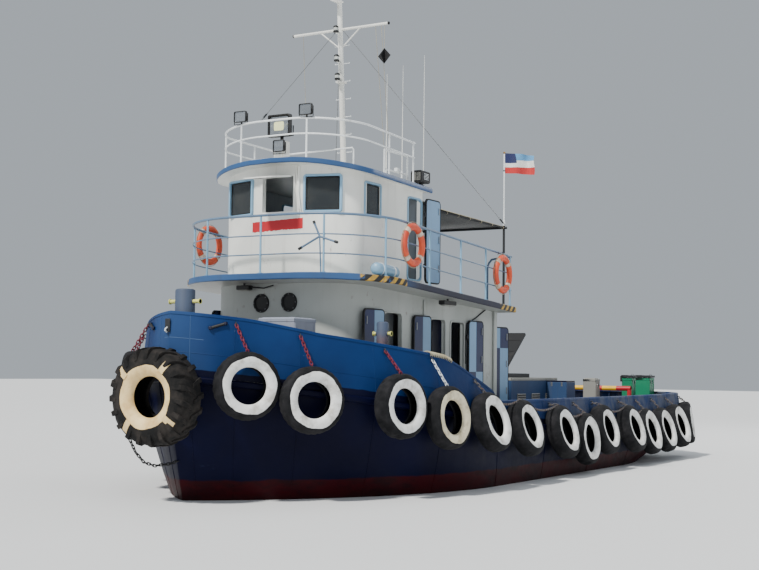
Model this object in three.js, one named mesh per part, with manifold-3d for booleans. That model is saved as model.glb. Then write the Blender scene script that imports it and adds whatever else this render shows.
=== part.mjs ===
// Harbour tugboat: a decked steel hull with bulwarks, deckhouse, boat deck and wheelhouse.
// Millimetres. +X to the bow, +Y to port, +Z up. The origin is on the centreline, amidships,
// at the waterline.
import * as THREE from 'three';
import { mergeVertices } from 'three/addons/utils/BufferGeometryUtils.js';
import Module from 'manifold-3d';

const wasm = await Module();
wasm.setup();

const GAP = 0.3;
const PORT = 1;
const STARBOARD = -1;
const SIDES = [['port', PORT], ['starboard', STARBOARD]];

// Colours of the paint and the materials
const paint = {
  navy: [0x16265c, 0.45, 0.1],
  blue: [0x2b4a8c, 0.5, 0.1],
  white: [0xe9e8e2, 0.5, 0.0],
  lightBlue: [0x8fb9d8, 0.5, 0.0],
  green: [0x2c8562, 0.5, 0.1],
  grey: [0x8d9496, 0.6, 0.2],
  darkSteel: [0x3a3d42, 0.6, 0.4],
  red: [0xb5322b, 0.5, 0.0],
  orange: [0xe2552a, 0.6, 0.0],
  rubber: [0x1d1d1f, 0.9, 0.0],
  bronze: [0xa07a35, 0.35, 0.9],
  cloth: [0x35383b, 0.95, 0.0],
};

// Hull sizes
const STEM_X = 8250;
const STERN_X = -8850;
const HALF_BEAM = 2800;
const DECK_LOW_X = -4000;
const DECK_LOW_Z = 850;
const SHEER = 6.9e-6;
const HULL_STEPS = 24;

const deckZ = (x) => DECK_LOW_Z + SHEER * (x - DECK_LOW_X) ** 2;

// Bulwark sizes
const BULWARK_PLATE = 40;
const BULWARK_LEAN = 0.17;
const BOW_LEAN = 0.04;
const BOW_LEAN_SPAN = [6000, 8000];
const BOW_RISE = 70;
const BOW_RISE_SPAN = [6800, 7600];
const CAP_WIDTH = 110;
const CAP_DEPTH = 45;
const BREAK_X = 4480;
const RAMP_END_X = 2750;
const FORE_HEIGHT = 865;
const AFT_RAIL_Z = 1470;

// Deckhouse, boat deck, wheelhouse and roof in plan: a straight-sided house with a rounded front.
// Each has its front and aft ends, its half width aft and forward, and its corners' length and width.
const deckhouse = { front: 5570, aft: 640, halfAft: 1740, halfFore: 1500, cornerX: 700, cornerY: 1000 };
const boatDeck = { front: 6080, aft: 560, halfAft: 2100, halfFore: 2100, cornerX: 1200, cornerY: 1500 };
const wheelhouse = { front: 5500, aft: 2950, halfAft: 1350, halfFore: 1350, cornerX: 550, cornerY: 1000 };
const roof = { front: 5760, aft: 2850, halfAft: 1500, halfFore: 1560, cornerX: 800, cornerY: 1150 };
const HOUSE_WALL = 60;
const BOAT_DECK_DEPTH = 110;
const BOAT_DECK_SLOPE = 0.058;
const BOAT_DECK_Z = 3170;
const ROOF_DEPTH = 90;
const ROOF_Z = 5460;
const ROOF_SLOPE = 0.029;
const ROOF_CAMBER = 6.9e-5;

const boatDeckTop = (x) => BOAT_DECK_Z + BOAT_DECK_SLOPE * x;
const boatDeckUnder = (x) => boatDeckTop(x) - BOAT_DECK_DEPTH;
const roofTop = (x, y) => ROOF_Z + ROOF_SLOPE * (x - roof.front) - ROOF_CAMBER * y * y;
const roofUnder = (x, y) => roofTop(x, y) - ROOF_DEPTH;

// Doors
const DOOR_HEIGHT = 1450;
const DOOR_THICK = 36;
const DOOR_LAP = 35;
const HINGE_OFFSET = 52;
const PIN_RADIUS = 9;
const BARREL_RADIUS = 20;
const BARREL_LENGTH = 70;
const BORE_RADIUS = 10.4;

const group = new THREE.Group();

// Solids and booleans
function solid(geometry) {
  const bare = new THREE.BufferGeometry();
  bare.setAttribute('position', geometry.getAttribute('position').clone());
  if (geometry.index) {
    bare.setIndex(geometry.index.clone());
  }
  const merged = mergeVertices(bare, 1e-3);
  const mesh = new wasm.Mesh({
    numProp: 3,
    vertProperties: Float32Array.from(merged.getAttribute('position').array),
    triVerts: Uint32Array.from(merged.index.array),
  });
  return new wasm.Manifold(mesh);
}

function geometryOf(manifold) {
  const mesh = manifold.getMesh();
  const geometry = new THREE.BufferGeometry();
  geometry.setAttribute('position', new THREE.BufferAttribute(Float32Array.from(mesh.vertProperties), 3));
  geometry.setIndex(Array.from(mesh.triVerts));
  geometry.computeVertexNormals();
  return geometry;
}

const join = (pieces) => pieces.reduce((whole, piece) => whole.add(piece));
const cut = (whole, cutters) => cutters.reduce((left, cutter) => left.subtract(cutter), whole);

function add(name, shape, finish, place = {}) {
  const [color, roughness, metalness] = paint[finish];
  const material = new THREE.MeshStandardMaterial({ color, roughness, metalness });
  const geometry = shape.isBufferGeometry ? shape : geometryOf(shape);
  const mesh = new THREE.Mesh(geometry, material);
  mesh.name = name;
  const [x, y, z] = place.at ?? [0, 0, 0];
  mesh.position.set(x, y, z);
  mesh.rotation.z = place.turn ?? 0;
  group.add(mesh);
  return mesh;
}

function box(size, at, turn = 0) {
  const geometry = new THREE.BoxGeometry(size[0], size[1], size[2]);
  geometry.rotateZ(turn);
  geometry.translate(at[0], at[1], at[2]);
  return solid(geometry);
}

function rod(from, to, radius, sides = 8, endRadius = radius) {
  const start = new THREE.Vector3(...from);
  const end = new THREE.Vector3(...to);
  const way = end.clone().sub(start);
  const geometry = new THREE.CylinderGeometry(endRadius, radius, way.length(), sides);
  const turn = new THREE.Quaternion().setFromUnitVectors(new THREE.Vector3(0, 1, 0), way.normalize());
  geometry.applyQuaternion(turn);
  geometry.translate(...start.add(end).multiplyScalar(0.5).toArray());
  return solid(geometry);
}

// A round tube whose rings stand square to the way at each point of its path
function pipe(points, radius, sides = 6) {
  const path = points.map((p) => new THREE.Vector3(...p));
  const rings = path.map((point, i) => {
    const before = path[Math.max(i - 1, 0)];
    const after = path[Math.min(i + 1, path.length - 1)];
    const way = after.clone().sub(before).normalize();
    const up = Math.abs(way.z) > 0.9 ? new THREE.Vector3(1, 0, 0) : new THREE.Vector3(0, 0, 1);
    const across = up.clone().cross(way).normalize();
    const upright = way.clone().cross(across);
    return Array.from({ length: sides }, (_, k) => {
      const angle = (2 * Math.PI * k) / sides;
      const out = across.clone().multiplyScalar(radius * Math.cos(angle));
      return point.clone().add(out).addScaledVector(upright, radius * Math.sin(angle)).toArray();
    });
  });
  return skin(rings, fanCap(sides));
}

// A closed skin over rings of points, each ring with the same count, with a cap at each end
function skin(rings, capTriangles) {
  const count = rings[0].length;
  const positions = rings.flat(2);
  const faces = [];
  for (let r = 0; r + 1 < rings.length; r += 1) {
    for (let i = 0; i < count; i += 1) {
      const next = (i + 1) % count;
      const a = r * count + i;
      const b = r * count + next;
      const c = a + count;
      const d = b + count;
      faces.push(a, b, d, a, d, c);
    }
  }
  const last = (rings.length - 1) * count;
  for (const [a, b, c] of capTriangles) {
    faces.push(a, c, b);
    faces.push(last + a, last + b, last + c);
  }
  const geometry = new THREE.BufferGeometry();
  geometry.setAttribute('position', new THREE.BufferAttribute(Float32Array.from(positions), 3));
  geometry.setIndex(volumeOf(positions, faces) < 0 ? turnedOver(faces) : faces);
  return solid(geometry);
}

function volumeOf(positions, faces) {
  const corner = (i) => new THREE.Vector3().fromArray(positions, 3 * i);
  let total = 0;
  for (let i = 0; i < faces.length; i += 3) {
    total += corner(faces[i]).dot(corner(faces[i + 1]).cross(corner(faces[i + 2])));
  }
  return total / 6;
}

function turnedOver(faces) {
  const turned = [];
  for (let i = 0; i < faces.length; i += 3) {
    turned.push(faces[i], faces[i + 2], faces[i + 1]);
  }
  return turned;
}

const fanCap = (count) => Array.from({ length: count - 2 }, (_, i) => [0, i + 1, i + 2]);

// A cap for a ring that is its own mirror image: point i is joined to point count - i
function mirrorCap(count) {
  const faces = [];
  for (let i = 0; i < count / 2; i += 1) {
    const a = i;
    const b = i + 1;
    const c = (count - i - 1) % count;
    const d = (count - i) % count;
    faces.push([a, b, c]);
    if (a !== d) {
      faces.push([a, c, d]);
    }
  }
  return faces.filter(([a, b, c]) => a !== b && b !== c && a !== c);
}

// Half breadth of a hull level at x: a full bow that rounds out from the stem, and a rounded stern
function halfBreadth(level, x) {
  const fromStem = Math.min(Math.max(level.stem - x, 0) / level.bowLength, 1);
  const fromStern = Math.min(Math.max(x - level.stern, 0) / level.runLength, 1);
  const bow = (1 - (1 - fromStem) ** 2) ** level.bowFullness;
  const run = (1 - (1 - fromStern) ** 2) ** level.runFullness;
  return level.half * bow * run;
}

// Hull levels from the keel up. Columns: height, or null where the level has sheer; share of the deck's
// height there; stem, stern, half breadth, bow length, run length, bow fullness, run fullness
const levelTable = [
  [-2100, 0, 6650, -5400, 110, 900, 700, 0.6, 0.6],
  [-1860, 0, 6900, -5450, 260, 2500, 4500, 0.8, 0.9],
  [-1540, 0, 7150, -5520, 1750, 6200, 7500, 1.1, 1.6],
  [-1050, 0, 7400, -5620, 2430, 5800, 6900, 1.05, 1.3],
  [-740, 0, 7530, -5760, 2590, 5600, 6200, 1.0, 1.1],
  [-600, 0, 7590, -7480, 2640, 5500, 6400, 1.0, 0.9],
  [0, 0, 7830, -8150, 2730, 5100, 4800, 0.9, 0.62],
  [null, 0.5, 8060, -8600, 2780, 4700, 2200, 0.84, 0.55],
  [null, 1, STEM_X, STERN_X, HALF_BEAM, 4300, 1500, 0.8, 0.5],
];
const levels = levelTable.map((row) => {
  const [z, share, stem, stern, half, bowLength, runLength, bowFullness, runFullness] = row;
  return { z, share, stem, stern, half, bowLength, runLength, bowFullness, runFullness };
});
const deckLevel = levels[levels.length - 1];

// Stations bunch toward the stem and the stern, where the plan curves most
function stationX(level, index) {
  const along = (1 - Math.cos((Math.PI * index) / HULL_STEPS)) / 2;
  return THREE.MathUtils.lerp(level.stem, level.stern, along);
}

function levelPoint(level, index, side) {
  const x = stationX(level, index);
  const height = level.z ?? level.share * deckZ(x);
  const end = index === 0 || index === HULL_STEPS;
  return [x, end ? 0 : side * halfBreadth(level, x), height];
}

function hullRing(level) {
  const ring = [];
  for (let i = 0; i <= HULL_STEPS; i += 1) {
    ring.push(levelPoint(level, i, PORT));
  }
  for (let i = HULL_STEPS - 1; i > 0; i -= 1) {
    ring.push(levelPoint(level, i, STARBOARD));
  }
  return ring;
}

const SHAFT_Z = -1400;
const BORE_END_X = -5300;
const TUBE_END_X = -5960;
const PROPELLER_X = -6200;
const PROPELLER_RADIUS = 560;
const RUDDER_X = -6950;
const RUDDER_TUBE_Z = -690;
const SOLE = { length: 2150, width: 150, depth: 110, x: -6320 };
const SOLE_TOP = levels[0].z + SOLE.depth;
const PINTLE = { radius: 38, height: 90 };

function hullSolid() {
  const rings = levels.map(hullRing);
  const body = skin(rings, mirrorCap(rings[0].length));
  const sole = box([SOLE.length, SOLE.width, SOLE.depth], [SOLE.x, 0, SOLE_TOP - SOLE.depth / 2]);
  const sternTube = rod([-4700, 0, SHAFT_Z], [TUBE_END_X, 0, SHAFT_Z], 150, 14, 110);
  const rudderTube = rod([RUDDER_X, 0, RUDDER_TUBE_Z], [RUDDER_X, 0, -400], 95, 14);
  const bore = rod([TUBE_END_X - 200, 0, SHAFT_Z], [BORE_END_X, 0, SHAFT_Z], 56.5, 16);
  const pintleTop = [RUDDER_X, 0, SOLE_TOP + PINTLE.height];
  const pintle = rod([RUDDER_X, 0, SOLE_TOP - 10], pintleTop, PINTLE.radius, 12);
  return cut(join([body, sole, sternTube, rudderTube, pintle]), [bore]);
}

const hull = hullSolid();
const hullRaised = hull.translate([0, 0, GAP]);
add('hull', hull, 'navy');

// Bulwark: a leaning plate with a cap rail, on the deck's edge
// How far x lies along a span, from 0 at its start to 1 at its end
function shareOf(x, [from, to]) {
  return THREE.MathUtils.clamp((x - from) / (to - from), 0, 1);
}

function bulwarkTopZ(x) {
  if (x >= BREAK_X) {
    return deckZ(x) + FORE_HEIGHT + BOW_RISE * shareOf(x, BOW_RISE_SPAN);
  }
  const aft = AFT_RAIL_Z + 1.6e-6 * Math.max(-3000 - x, 0) ** 2;
  if (x <= RAMP_END_X) {
    return aft;
  }
  const along = (x - RAMP_END_X) / (BREAK_X - RAMP_END_X);
  return THREE.MathUtils.lerp(AFT_RAIL_Z + 130, deckZ(BREAK_X) + FORE_HEIGHT, along ** 0.9);
}

// The deck edge and the way inboard at a station, across the plan curve
function edgeFrame(index, side) {
  const here = levelPoint(deckLevel, index, side);
  const before = levelPoint(deckLevel, Math.max(index - 1, 0), index === 0 ? -side : side);
  const after = levelPoint(deckLevel, Math.min(index + 1, HULL_STEPS), index === HULL_STEPS ? -side : side);
  let back = before;
  let ahead = after;
  if (index === 0) {
    back = levelPoint(deckLevel, 1, -side);
  }
  if (index === HULL_STEPS) {
    ahead = levelPoint(deckLevel, HULL_STEPS - 1, -side);
  }
  const along = new THREE.Vector2(ahead[0] - back[0], ahead[1] - back[1]).normalize();
  const inboard = new THREE.Vector2(-along.y, along.x).multiplyScalar(side === PORT ? 1 : -1);
  const toCentre = new THREE.Vector2(-here[0] * 0.6, -here[1]);
  if (inboard.dot(toCentre) < 0) {
    inboard.negate();
  }
  return { here, inboard };
}

function bulwarkRing(index, side) {
  const { here, inboard } = edgeFrame(index, side);
  const [x, y, z] = here;
  const top = bulwarkTopZ(x);
  const base = z + GAP;
  const at = (inward, height) => [x + inboard.x * inward, y + inboard.y * inward, height];
  const slope = THREE.MathUtils.lerp(BULWARK_LEAN, BOW_LEAN, shareOf(x, BOW_LEAN_SPAN));
  const lean = (height) => slope * (height - z);
  const plate = BULWARK_PLATE;
  return [
    at(lean(top), top),
    at(lean(top) + CAP_WIDTH, top),
    at(lean(top) + CAP_WIDTH, top - CAP_DEPTH),
    at(lean(top - CAP_DEPTH) + plate, top - CAP_DEPTH),
    at(plate, base),
    at(0, base),
  ];
}

function bulwark(stations) {
  const rings = stations.map(([index, side]) => bulwarkRing(index, side));
  return skin(rings, fanCap(6));
}

// Station numbers where one bulwark section ends and the next begins
const BOW_END = 8;
const QUARTER = 19;

function range(from, to) {
  const way = Math.sign(to - from);
  return Array.from({ length: Math.abs(to - from) + 1 }, (_, i) => from + i * way);
}

const bowStations = [
  ...range(BOW_END, 1).map((i) => [i, PORT]),
  ...range(0, BOW_END).map((i) => [i, STARBOARD]),
];
const sternStations = [
  ...range(QUARTER, HULL_STEPS).map((i) => [i, PORT]),
  ...range(HULL_STEPS - 1, QUARTER).map((i) => [i, STARBOARD]),
];
add('bulwark_bow', bulwark(bowStations), 'navy');
add('bulwark_stern', bulwark(sternStations), 'navy');
for (const [name, side] of SIDES) {
  add(`bulwark_${name}`, bulwark(range(BOW_END, QUARTER).map((i) => [i, side])), 'navy');
}

// Half width of a house outline at x
function halfWidth(plan, x) {
  const cornerStart = plan.front - plan.cornerX;
  const along = (x - plan.aft) / (cornerStart - plan.aft);
  if (x <= cornerStart) {
    return THREE.MathUtils.lerp(plan.halfAft, plan.halfFore, along);
  }
  const into = Math.min((x - cornerStart) / plan.cornerX, 1);
  return plan.halfFore - plan.cornerY + plan.cornerY * Math.sqrt(1 - into * into);
}

const CORNER_STEPS = 7;

function planStations(plan) {
  const cornerStart = plan.front - plan.cornerX;
  const stations = [plan.aft, cornerStart];
  for (let i = 1; i <= CORNER_STEPS; i += 1) {
    stations.push(cornerStart + plan.cornerX * Math.sin((Math.PI / 2) * (i / CORNER_STEPS)));
  }
  return stations;
}

// A slab with the plan's outline between two surfaces
function slab(plan, topAt, underAt, across = 1) {
  const rings = planStations(plan).map((x) => {
    const half = halfWidth(plan, x);
    const ys = Array.from({ length: across + 1 }, (_, i) => -half + (2 * half * i) / across);
    const top = ys.map((y) => [x, y, topAt(x, y)]);
    const under = ys.map((y) => [x, y, underAt(x, y)]).reverse();
    return [...top, ...under];
  });
  const faces = [];
  for (let i = 0; i < across; i += 1) {
    const below = 2 * across + 1 - i;
    faces.push([i, i + 1, below - 1], [i, below - 1, below]);
  }
  return skin(rings, faces);
}

function inset(plan, by) {
  return {
    front: plan.front - by,
    aft: plan.aft + by,
    halfAft: plan.halfAft - by,
    halfFore: plan.halfFore - by,
    cornerX: plan.cornerX - by * 0.7,
    cornerY: plan.cornerY - by * 0.7,
  };
}

const HIGH = 9000;
const LOW = -3000;
const tall = (plan) => slab(plan, () => HIGH, () => LOW);
const outset = (plan, by) => inset(plan, -by);
const boatDeckSolid = slab(boatDeck, boatDeckTop, boatDeckUnder);
const roofSolid = slab(roof, roofTop, roofUnder, 6);
const aboveBoatDeckUnder = slab(outset(boatDeck, 50), () => HIGH, (x) => boatDeckUnder(x) - GAP);
const belowBoatDeckTop = slab(outset(boatDeck, 50), (x) => boatDeckTop(x) + GAP, () => LOW);
const aboveRoofUnder = slab(roof, () => HIGH, (x, y) => roofUnder(x, y) - GAP, 6);
const belowRoofTop = slab(roof, (x, y) => roofTop(x, y) + GAP, () => LOW, 6);

add('boat_deck', boatDeckSolid, 'blue');
add('wheelhouse_roof', roofSolid, 'blue');

// Doors: where each stands, its hinge edge, and which way it lies when folded back
const doorTopZ = (x) => 2790 + 0.036 * x;
// Columns: name, opening's centre x, clear width, hinge on the forward or the aft jamb
const deckhouseDoors = [
  { name: 'fore', centre: 4290, width: 560, hingeForward: true },
  { name: 'middle', centre: 2830, width: 520, hingeForward: true },
  { name: 'aft', centre: 2150, width: 500, hingeForward: false },
];
const wheelhouseDoor = { name: 'wheelhouse', centre: 3240, width: 500, hingeForward: false };
const wheelhouseDoorTop = 5010;
const aftDoor = { centreY: 1250, width: 560, top: 2800 };

function opening(centre, width, height, turn) {
  return box([width, 400, height], centre, turn);
}

// A hinge on a wall: a bracket with an upright pin, at a height
function hingePart(at, inward, z) {
  const under = z - BARREL_LENGTH / 2 - GAP;
  const plateAt = [at[0] + inward[0] * 24, at[1] + inward[1] * 24, under - 7];
  const plate = box([34, HINGE_OFFSET + 18, 14], plateAt);
  const pin = rod([at[0], at[1], under - 7], [at[0], at[1], z + BARREL_LENGTH / 2], PIN_RADIUS, 8);
  return join([plate, pin]);
}

// A door leaf from its hinge axis at the origin, along +X when way is 1 and -X when way is -1
function leaf(width, height, way) {
  const board = box([width, DOOR_THICK, height], [way * (width / 2 + BARREL_RADIUS + 6), 0, 0]);
  const pieces = [board];
  const holes = [];
  for (const z of [-height * 0.3, height * 0.3]) {
    pieces.push(rod([0, 0, z - BARREL_LENGTH / 2], [0, 0, z + BARREL_LENGTH / 2], BARREL_RADIUS, 8));
    pieces.push(box([BARREL_RADIUS + 30, 14, BARREL_LENGTH], [way * (BARREL_RADIUS + 10), 0, z]));
    holes.push(rod([0, 0, z - BARREL_LENGTH], [0, 0, z + BARREL_LENGTH], BORE_RADIUS, 8));
  }
  return cut(join(pieces), holes);
}

function buildHouse(name, plan, doors, side) {
  const outerAngle = Math.atan2(plan.halfFore - plan.halfAft, plan.front - plan.cornerX - plan.aft) * side;
  const cuts = [];
  const brackets = [];
  for (const door of doors) {
    const half = halfWidth(plan, door.centre);
    const middleZ = door.top - DOOR_HEIGHT / 2;
    cuts.push(opening([door.centre, side * half, middleZ], door.width, DOOR_HEIGHT, outerAngle));
    const way = door.hingeForward ? 1 : -1;
    const hingeX = door.centre + way * (door.width / 2 + DOOR_LAP);
    const hingeY = side * (halfWidth(plan, hingeX) + HINGE_OFFSET);
    const height = DOOR_HEIGHT + 2 * DOOR_LAP;
    for (const offset of [-height * 0.3, height * 0.3]) {
      brackets.push(hingePart([hingeX, hingeY], [0, -side], middleZ + offset));
    }
    const shape = leaf(door.width + 2 * DOOR_LAP - BARREL_RADIUS, height, way);
    const place = { at: [hingeX, hingeY, middleZ], turn: outerAngle };
    add(`door_${name}_${door.name}`, shape, 'lightBlue', place);
  }
  return { cuts, brackets };
}

// The wall ring of a house, cut into its front, its two sides and its aft wall
const FRONT_SEAM = 60;

function wallPieces(plan, wall) {
  const ring = cut(tall(plan), [tall(inset(plan, wall))]);
  const seamX = plan.front - plan.cornerX - FRONT_SEAM;
  const far = 20000;
  const ahead = box([far, far, far], [seamX + GAP / 2 + far / 2, 0, 0]);
  const behindSeam = box([far, far, far], [seamX - GAP / 2 - far / 2, 0, 0]);
  const aftHalf = plan.halfAft - wall - 3;
  const aftBlock = (spare) => box([2 * (wall + spare), 2 * (aftHalf + spare), far], [plan.aft, 0, 0]);
  const half = (side) => box([far, far, far], [0, side * (far / 2), 0]);
  const sideRing = cut(ring.intersect(behindSeam), [aftBlock(GAP)]);
  return {
    front: ring.intersect(ahead),
    aft: ring.intersect(aftBlock(0)),
    port: sideRing.intersect(half(PORT)),
    starboard: sideRing.intersect(half(STARBOARD)),
  };
}

// Each side of the deckhouse is three panels, one for each doorway. Columns: name, x from and to
const sidePanels = [
  ['fore', 3550, STEM_X],
  ['middle', 2485, 3550],
  ['aft', STERN_X, 2485],
];

function addDeckhouse() {
  const walls = wallPieces(deckhouse, HOUSE_WALL);
  const trim = [hullRaised, aboveBoatDeckUnder];
  const keelCut = box([20000, 20000, 4000], [0, 0, -1900]);
  add('deckhouse_front', cut(walls.front, [...trim, keelCut]), 'white');
  for (const [name, side] of SIDES) {
    const doors = deckhouseDoors.map((door) => ({ ...door, top: doorTopZ(door.centre) }));
    const { cuts, brackets } = buildHouse(name, deckhouse, doors, side);
    const wall = join([cut(walls[name], [...trim, keelCut, ...cuts]), ...brackets]);
    for (const [panel, from, to] of sidePanels) {
      const block = box([to - from - GAP, 20000, 20000], [(from + to) / 2, 0, 0]);
      add(`deckhouse_${name}_${panel}`, wall.intersect(block), 'white');
    }
  }
  const door = aftDoor;
  const middleZ = door.top - DOOR_HEIGHT / 2;
  const hingeY = door.centreY + door.width / 2 + DOOR_LAP;
  const hingeX = deckhouse.aft - HINGE_OFFSET;
  const hole = box([400, door.width, DOOR_HEIGHT], [deckhouse.aft, door.centreY, middleZ]);
  const height = DOOR_HEIGHT + 2 * DOOR_LAP;
  const brackets = [];
  for (const offset of [-height * 0.3, height * 0.3]) {
    const under = middleZ + offset - BARREL_LENGTH / 2 - GAP;
    brackets.push(box([HINGE_OFFSET + 18, 34, 14], [hingeX + 24, hingeY, under - 7]));
    brackets.push(rod([hingeX, hingeY, under - 7], [hingeX, hingeY, under + BARREL_LENGTH], PIN_RADIUS, 8));
  }
  const wall = cut(walls.aft, [...trim, keelCut, hole]);
  add('deckhouse_aft', join([wall, ...brackets]), 'white');
  const shape = leaf(door.width + 2 * DOOR_LAP - BARREL_RADIUS, height, -1);
  const turn = THREE.MathUtils.degToRad(-8);
  add('door_deckhouse_aft', shape, 'lightBlue', { at: [hingeX, hingeY, middleZ], turn });
}
addDeckhouse();

// Wheelhouse windows. Columns: centre x, centre y, width, turn in degrees, bottom and top heights
const frontWindows = [
  { x: 5480, y: 0, width: 620, turn: 90, bottom: 4560, top: 5200 },
  { x: 5400, y: 830, width: 600, turn: 72, bottom: 4560, top: 5170 },
  { x: 5400, y: -830, width: 600, turn: 108, bottom: 4560, top: 5170 },
];
const sideWindow = { x: 4665, width: 430, bottom: 4530, top: 5090 };
const aftWindows = { y: 620, width: 560, bottom: 4450, top: 4950 };

function windowCut(pane) {
  const height = pane.top - pane.bottom;
  const turn = THREE.MathUtils.degToRad(pane.turn);
  return box([pane.width, 420, height], [pane.x, pane.y, pane.bottom + height / 2], turn - Math.PI);
}

function addWheelhouse() {
  const walls = wallPieces(wheelhouse, HOUSE_WALL);
  const trim = [belowBoatDeckTop, aboveRoofUnder];
  const front = cut(walls.front, [...trim, ...frontWindows.map(windowCut)]);
  add('wheelhouse_front', front, 'white');
  for (const [name, side] of SIDES) {
    const doors = [{ ...wheelhouseDoor, top: wheelhouseDoorTop }];
    const { cuts, brackets } = buildHouse(name, wheelhouse, doors, side);
    const pane = { ...sideWindow, y: side * wheelhouse.halfFore, turn: 0 };
    const wall = cut(walls[name], [...trim, ...cuts, windowCut(pane)]);
    add(`wheelhouse_${name}`, join([wall, ...brackets]), 'white');
  }
  const panes = [PORT, STARBOARD].map((side) => (
    windowCut({ ...aftWindows, x: wheelhouse.aft, y: side * aftWindows.y, turn: 90 })
  ));
  add('wheelhouse_aft', cut(walls.aft, [...trim, ...panes]), 'white');
}
addWheelhouse();

// Rails: a path round a deck's edge, upright posts and level rods
function edgePath(plan, by, aftX) {
  const edge = inset(plan, by);
  const port = planStations(edge).filter((x) => x > aftX + 200).map((x) => [x, halfWidth(edge, x)]);
  const ends = [[aftX, halfWidth(edge, aftX)], ...port];
  const across = ends.map(([x, y]) => [x, -y]).reverse();
  return [...ends, ...across];
}

const raised = (path, heightAt) => path.map(([x, y]) => [x, y, heightAt(x, y)]);

const BOAT_RAIL = { inset: 70, aftX: 640, height: 950, middle: [310, 620], radius: 21, rodRadius: 12 };
const boatRailPosts = [700, 1750, 2800, 3800, 4850];

function addBoatDeckRail() {
  const path = edgePath(boatDeck, BOAT_RAIL.inset, BOAT_RAIL.aftX);
  const at = (rise) => (x) => boatDeckTop(x) + rise;
  const pieces = [pipe(raised(path, at(BOAT_RAIL.height)), BOAT_RAIL.radius)];
  for (const rise of BOAT_RAIL.middle) {
    pieces.push(pipe(raised(path, at(rise)), BOAT_RAIL.rodRadius, 4));
  }
  const edge = inset(boatDeck, BOAT_RAIL.inset);
  const posts = boatRailPosts.flatMap((x) => [[x, halfWidth(edge, x)], [x, -halfWidth(edge, x)]]);
  for (const y of [1350, 450, -450, -1350]) {
    const into = Math.max(Math.abs(y) - (edge.halfFore - edge.cornerY), 0) / edge.cornerY;
    posts.push([edge.front - edge.cornerX + edge.cornerX * Math.sqrt(1 - into * into) - 6, y]);
  }
  for (const [x, y] of posts) {
    const foot = boatDeckTop(x) - 10;
    pieces.push(rod([x, y, foot], [x, y, foot + BOAT_RAIL.height + 6], 18, 4));
  }
  for (const side of [PORT, STARBOARD]) {
    const y = side * halfWidth(edge, BOAT_RAIL.aftX);
    const foot = boatDeckTop(BOAT_RAIL.aftX) + GAP;
    pieces.push(pipe([
      [BOAT_RAIL.aftX, y, foot + BOAT_RAIL.height],
      [BOAT_RAIL.aftX - 20, y - side * 200, foot + BOAT_RAIL.height - 10],
      [BOAT_RAIL.aftX - 20, y - side * 420, foot + BOAT_RAIL.height - 40],
      [BOAT_RAIL.aftX, y - side * 500, foot + BOAT_RAIL.height - 220],
      [BOAT_RAIL.aftX, y - side * 500, foot - 20],
    ], BOAT_RAIL.radius));
  }
  const whole = cut(join(pieces), [belowBoatDeckTop]);
  add('boat_deck_rail', whole, 'lightBlue');
}
addBoatDeckRail();

const ROOF_RAIL = { inset: 130, aftX: 3300, height: 660, middle: [160, 400], radius: 17 };

function addRoofRail() {
  const path = edgePath(roof, ROOF_RAIL.inset, ROOF_RAIL.aftX);
  const at = (rise) => (x, y) => roofTop(x, y) + rise;
  const level = (rise) => (x, y) => roofTop(x, y * 0.75) + rise;
  const pieces = [pipe(raised(path, level(ROOF_RAIL.height)), ROOF_RAIL.radius)];
  for (const rise of ROOF_RAIL.middle) {
    pieces.push(pipe(raised(path, level(rise)), 12, 4));
  }
  const edge = inset(roof, ROOF_RAIL.inset);
  const posts = [3330, 4100, 4800].flatMap((x) => [[x, halfWidth(edge, x)], [x, -halfWidth(edge, x)]]);
  for (const y of [950, 330, -330, -950]) {
    const into = Math.max(Math.abs(y) - (edge.halfFore - edge.cornerY), 0) / edge.cornerY;
    posts.push([edge.front - edge.cornerX + edge.cornerX * Math.sqrt(1 - into * into) - 5, y]);
  }
  for (const [x, y] of posts) {
    pieces.push(rod([x, y, roofTop(x, y) - 20], [x, y, level(ROOF_RAIL.height)(x, y) - 3], 16, 4));
  }
  for (const lamp of [{ y: 330, turn: 0 }, { y: -950, turn: 0 }]) {
    const [x, y] = posts.find((post) => post[1] === lamp.y);
    const z = level(ROOF_RAIL.height)(x, y);
    pieces.push(rod([x, y, z - 20], [x, y, z + 70], 14, 6));
    pieces.push(box([90, 250, 190], [x + 20, y, z + 150]));
  }
  add('roof_rail', cut(join(pieces), [belowRoofTop]), 'white');
}
addRoofRail();

// Searchlight on its white box at the front of the roof
function addSearchlight() {
  const x = 5330;
  const y = -60;
  const foot = roofTop(x, 0) - 30;
  const pieces = [
    box([240, 220, 60], [x, y, foot + 30]),
    box([200, 220, 330], [x, y, foot + 225]),
    rod([x, y, foot + 380], [x, y, foot + 470], 30, 10),
    box([90, 470, 400], [x + 30, y, foot + 640]),
    box([110, 420, 340], [x + 70, y, foot + 640]),
  ];
  add('searchlight', cut(join(pieces), [belowRoofTop]), 'darkSteel');
}
addSearchlight();

// Mast with its yard and main stays
const MAST = { x: 3450, topX: 3740, topZ: 9500, radius: 52, topRadius: 34 };
const YARD = { z: 8100, half: 1020 };
const CORNER_POST = { x: 700, y: 1960 };

function mastX(z) {
  const foot = roofTop(MAST.x, 0);
  return THREE.MathUtils.lerp(MAST.x, MAST.topX, (z - foot) / (MAST.topZ - foot));
}

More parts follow.
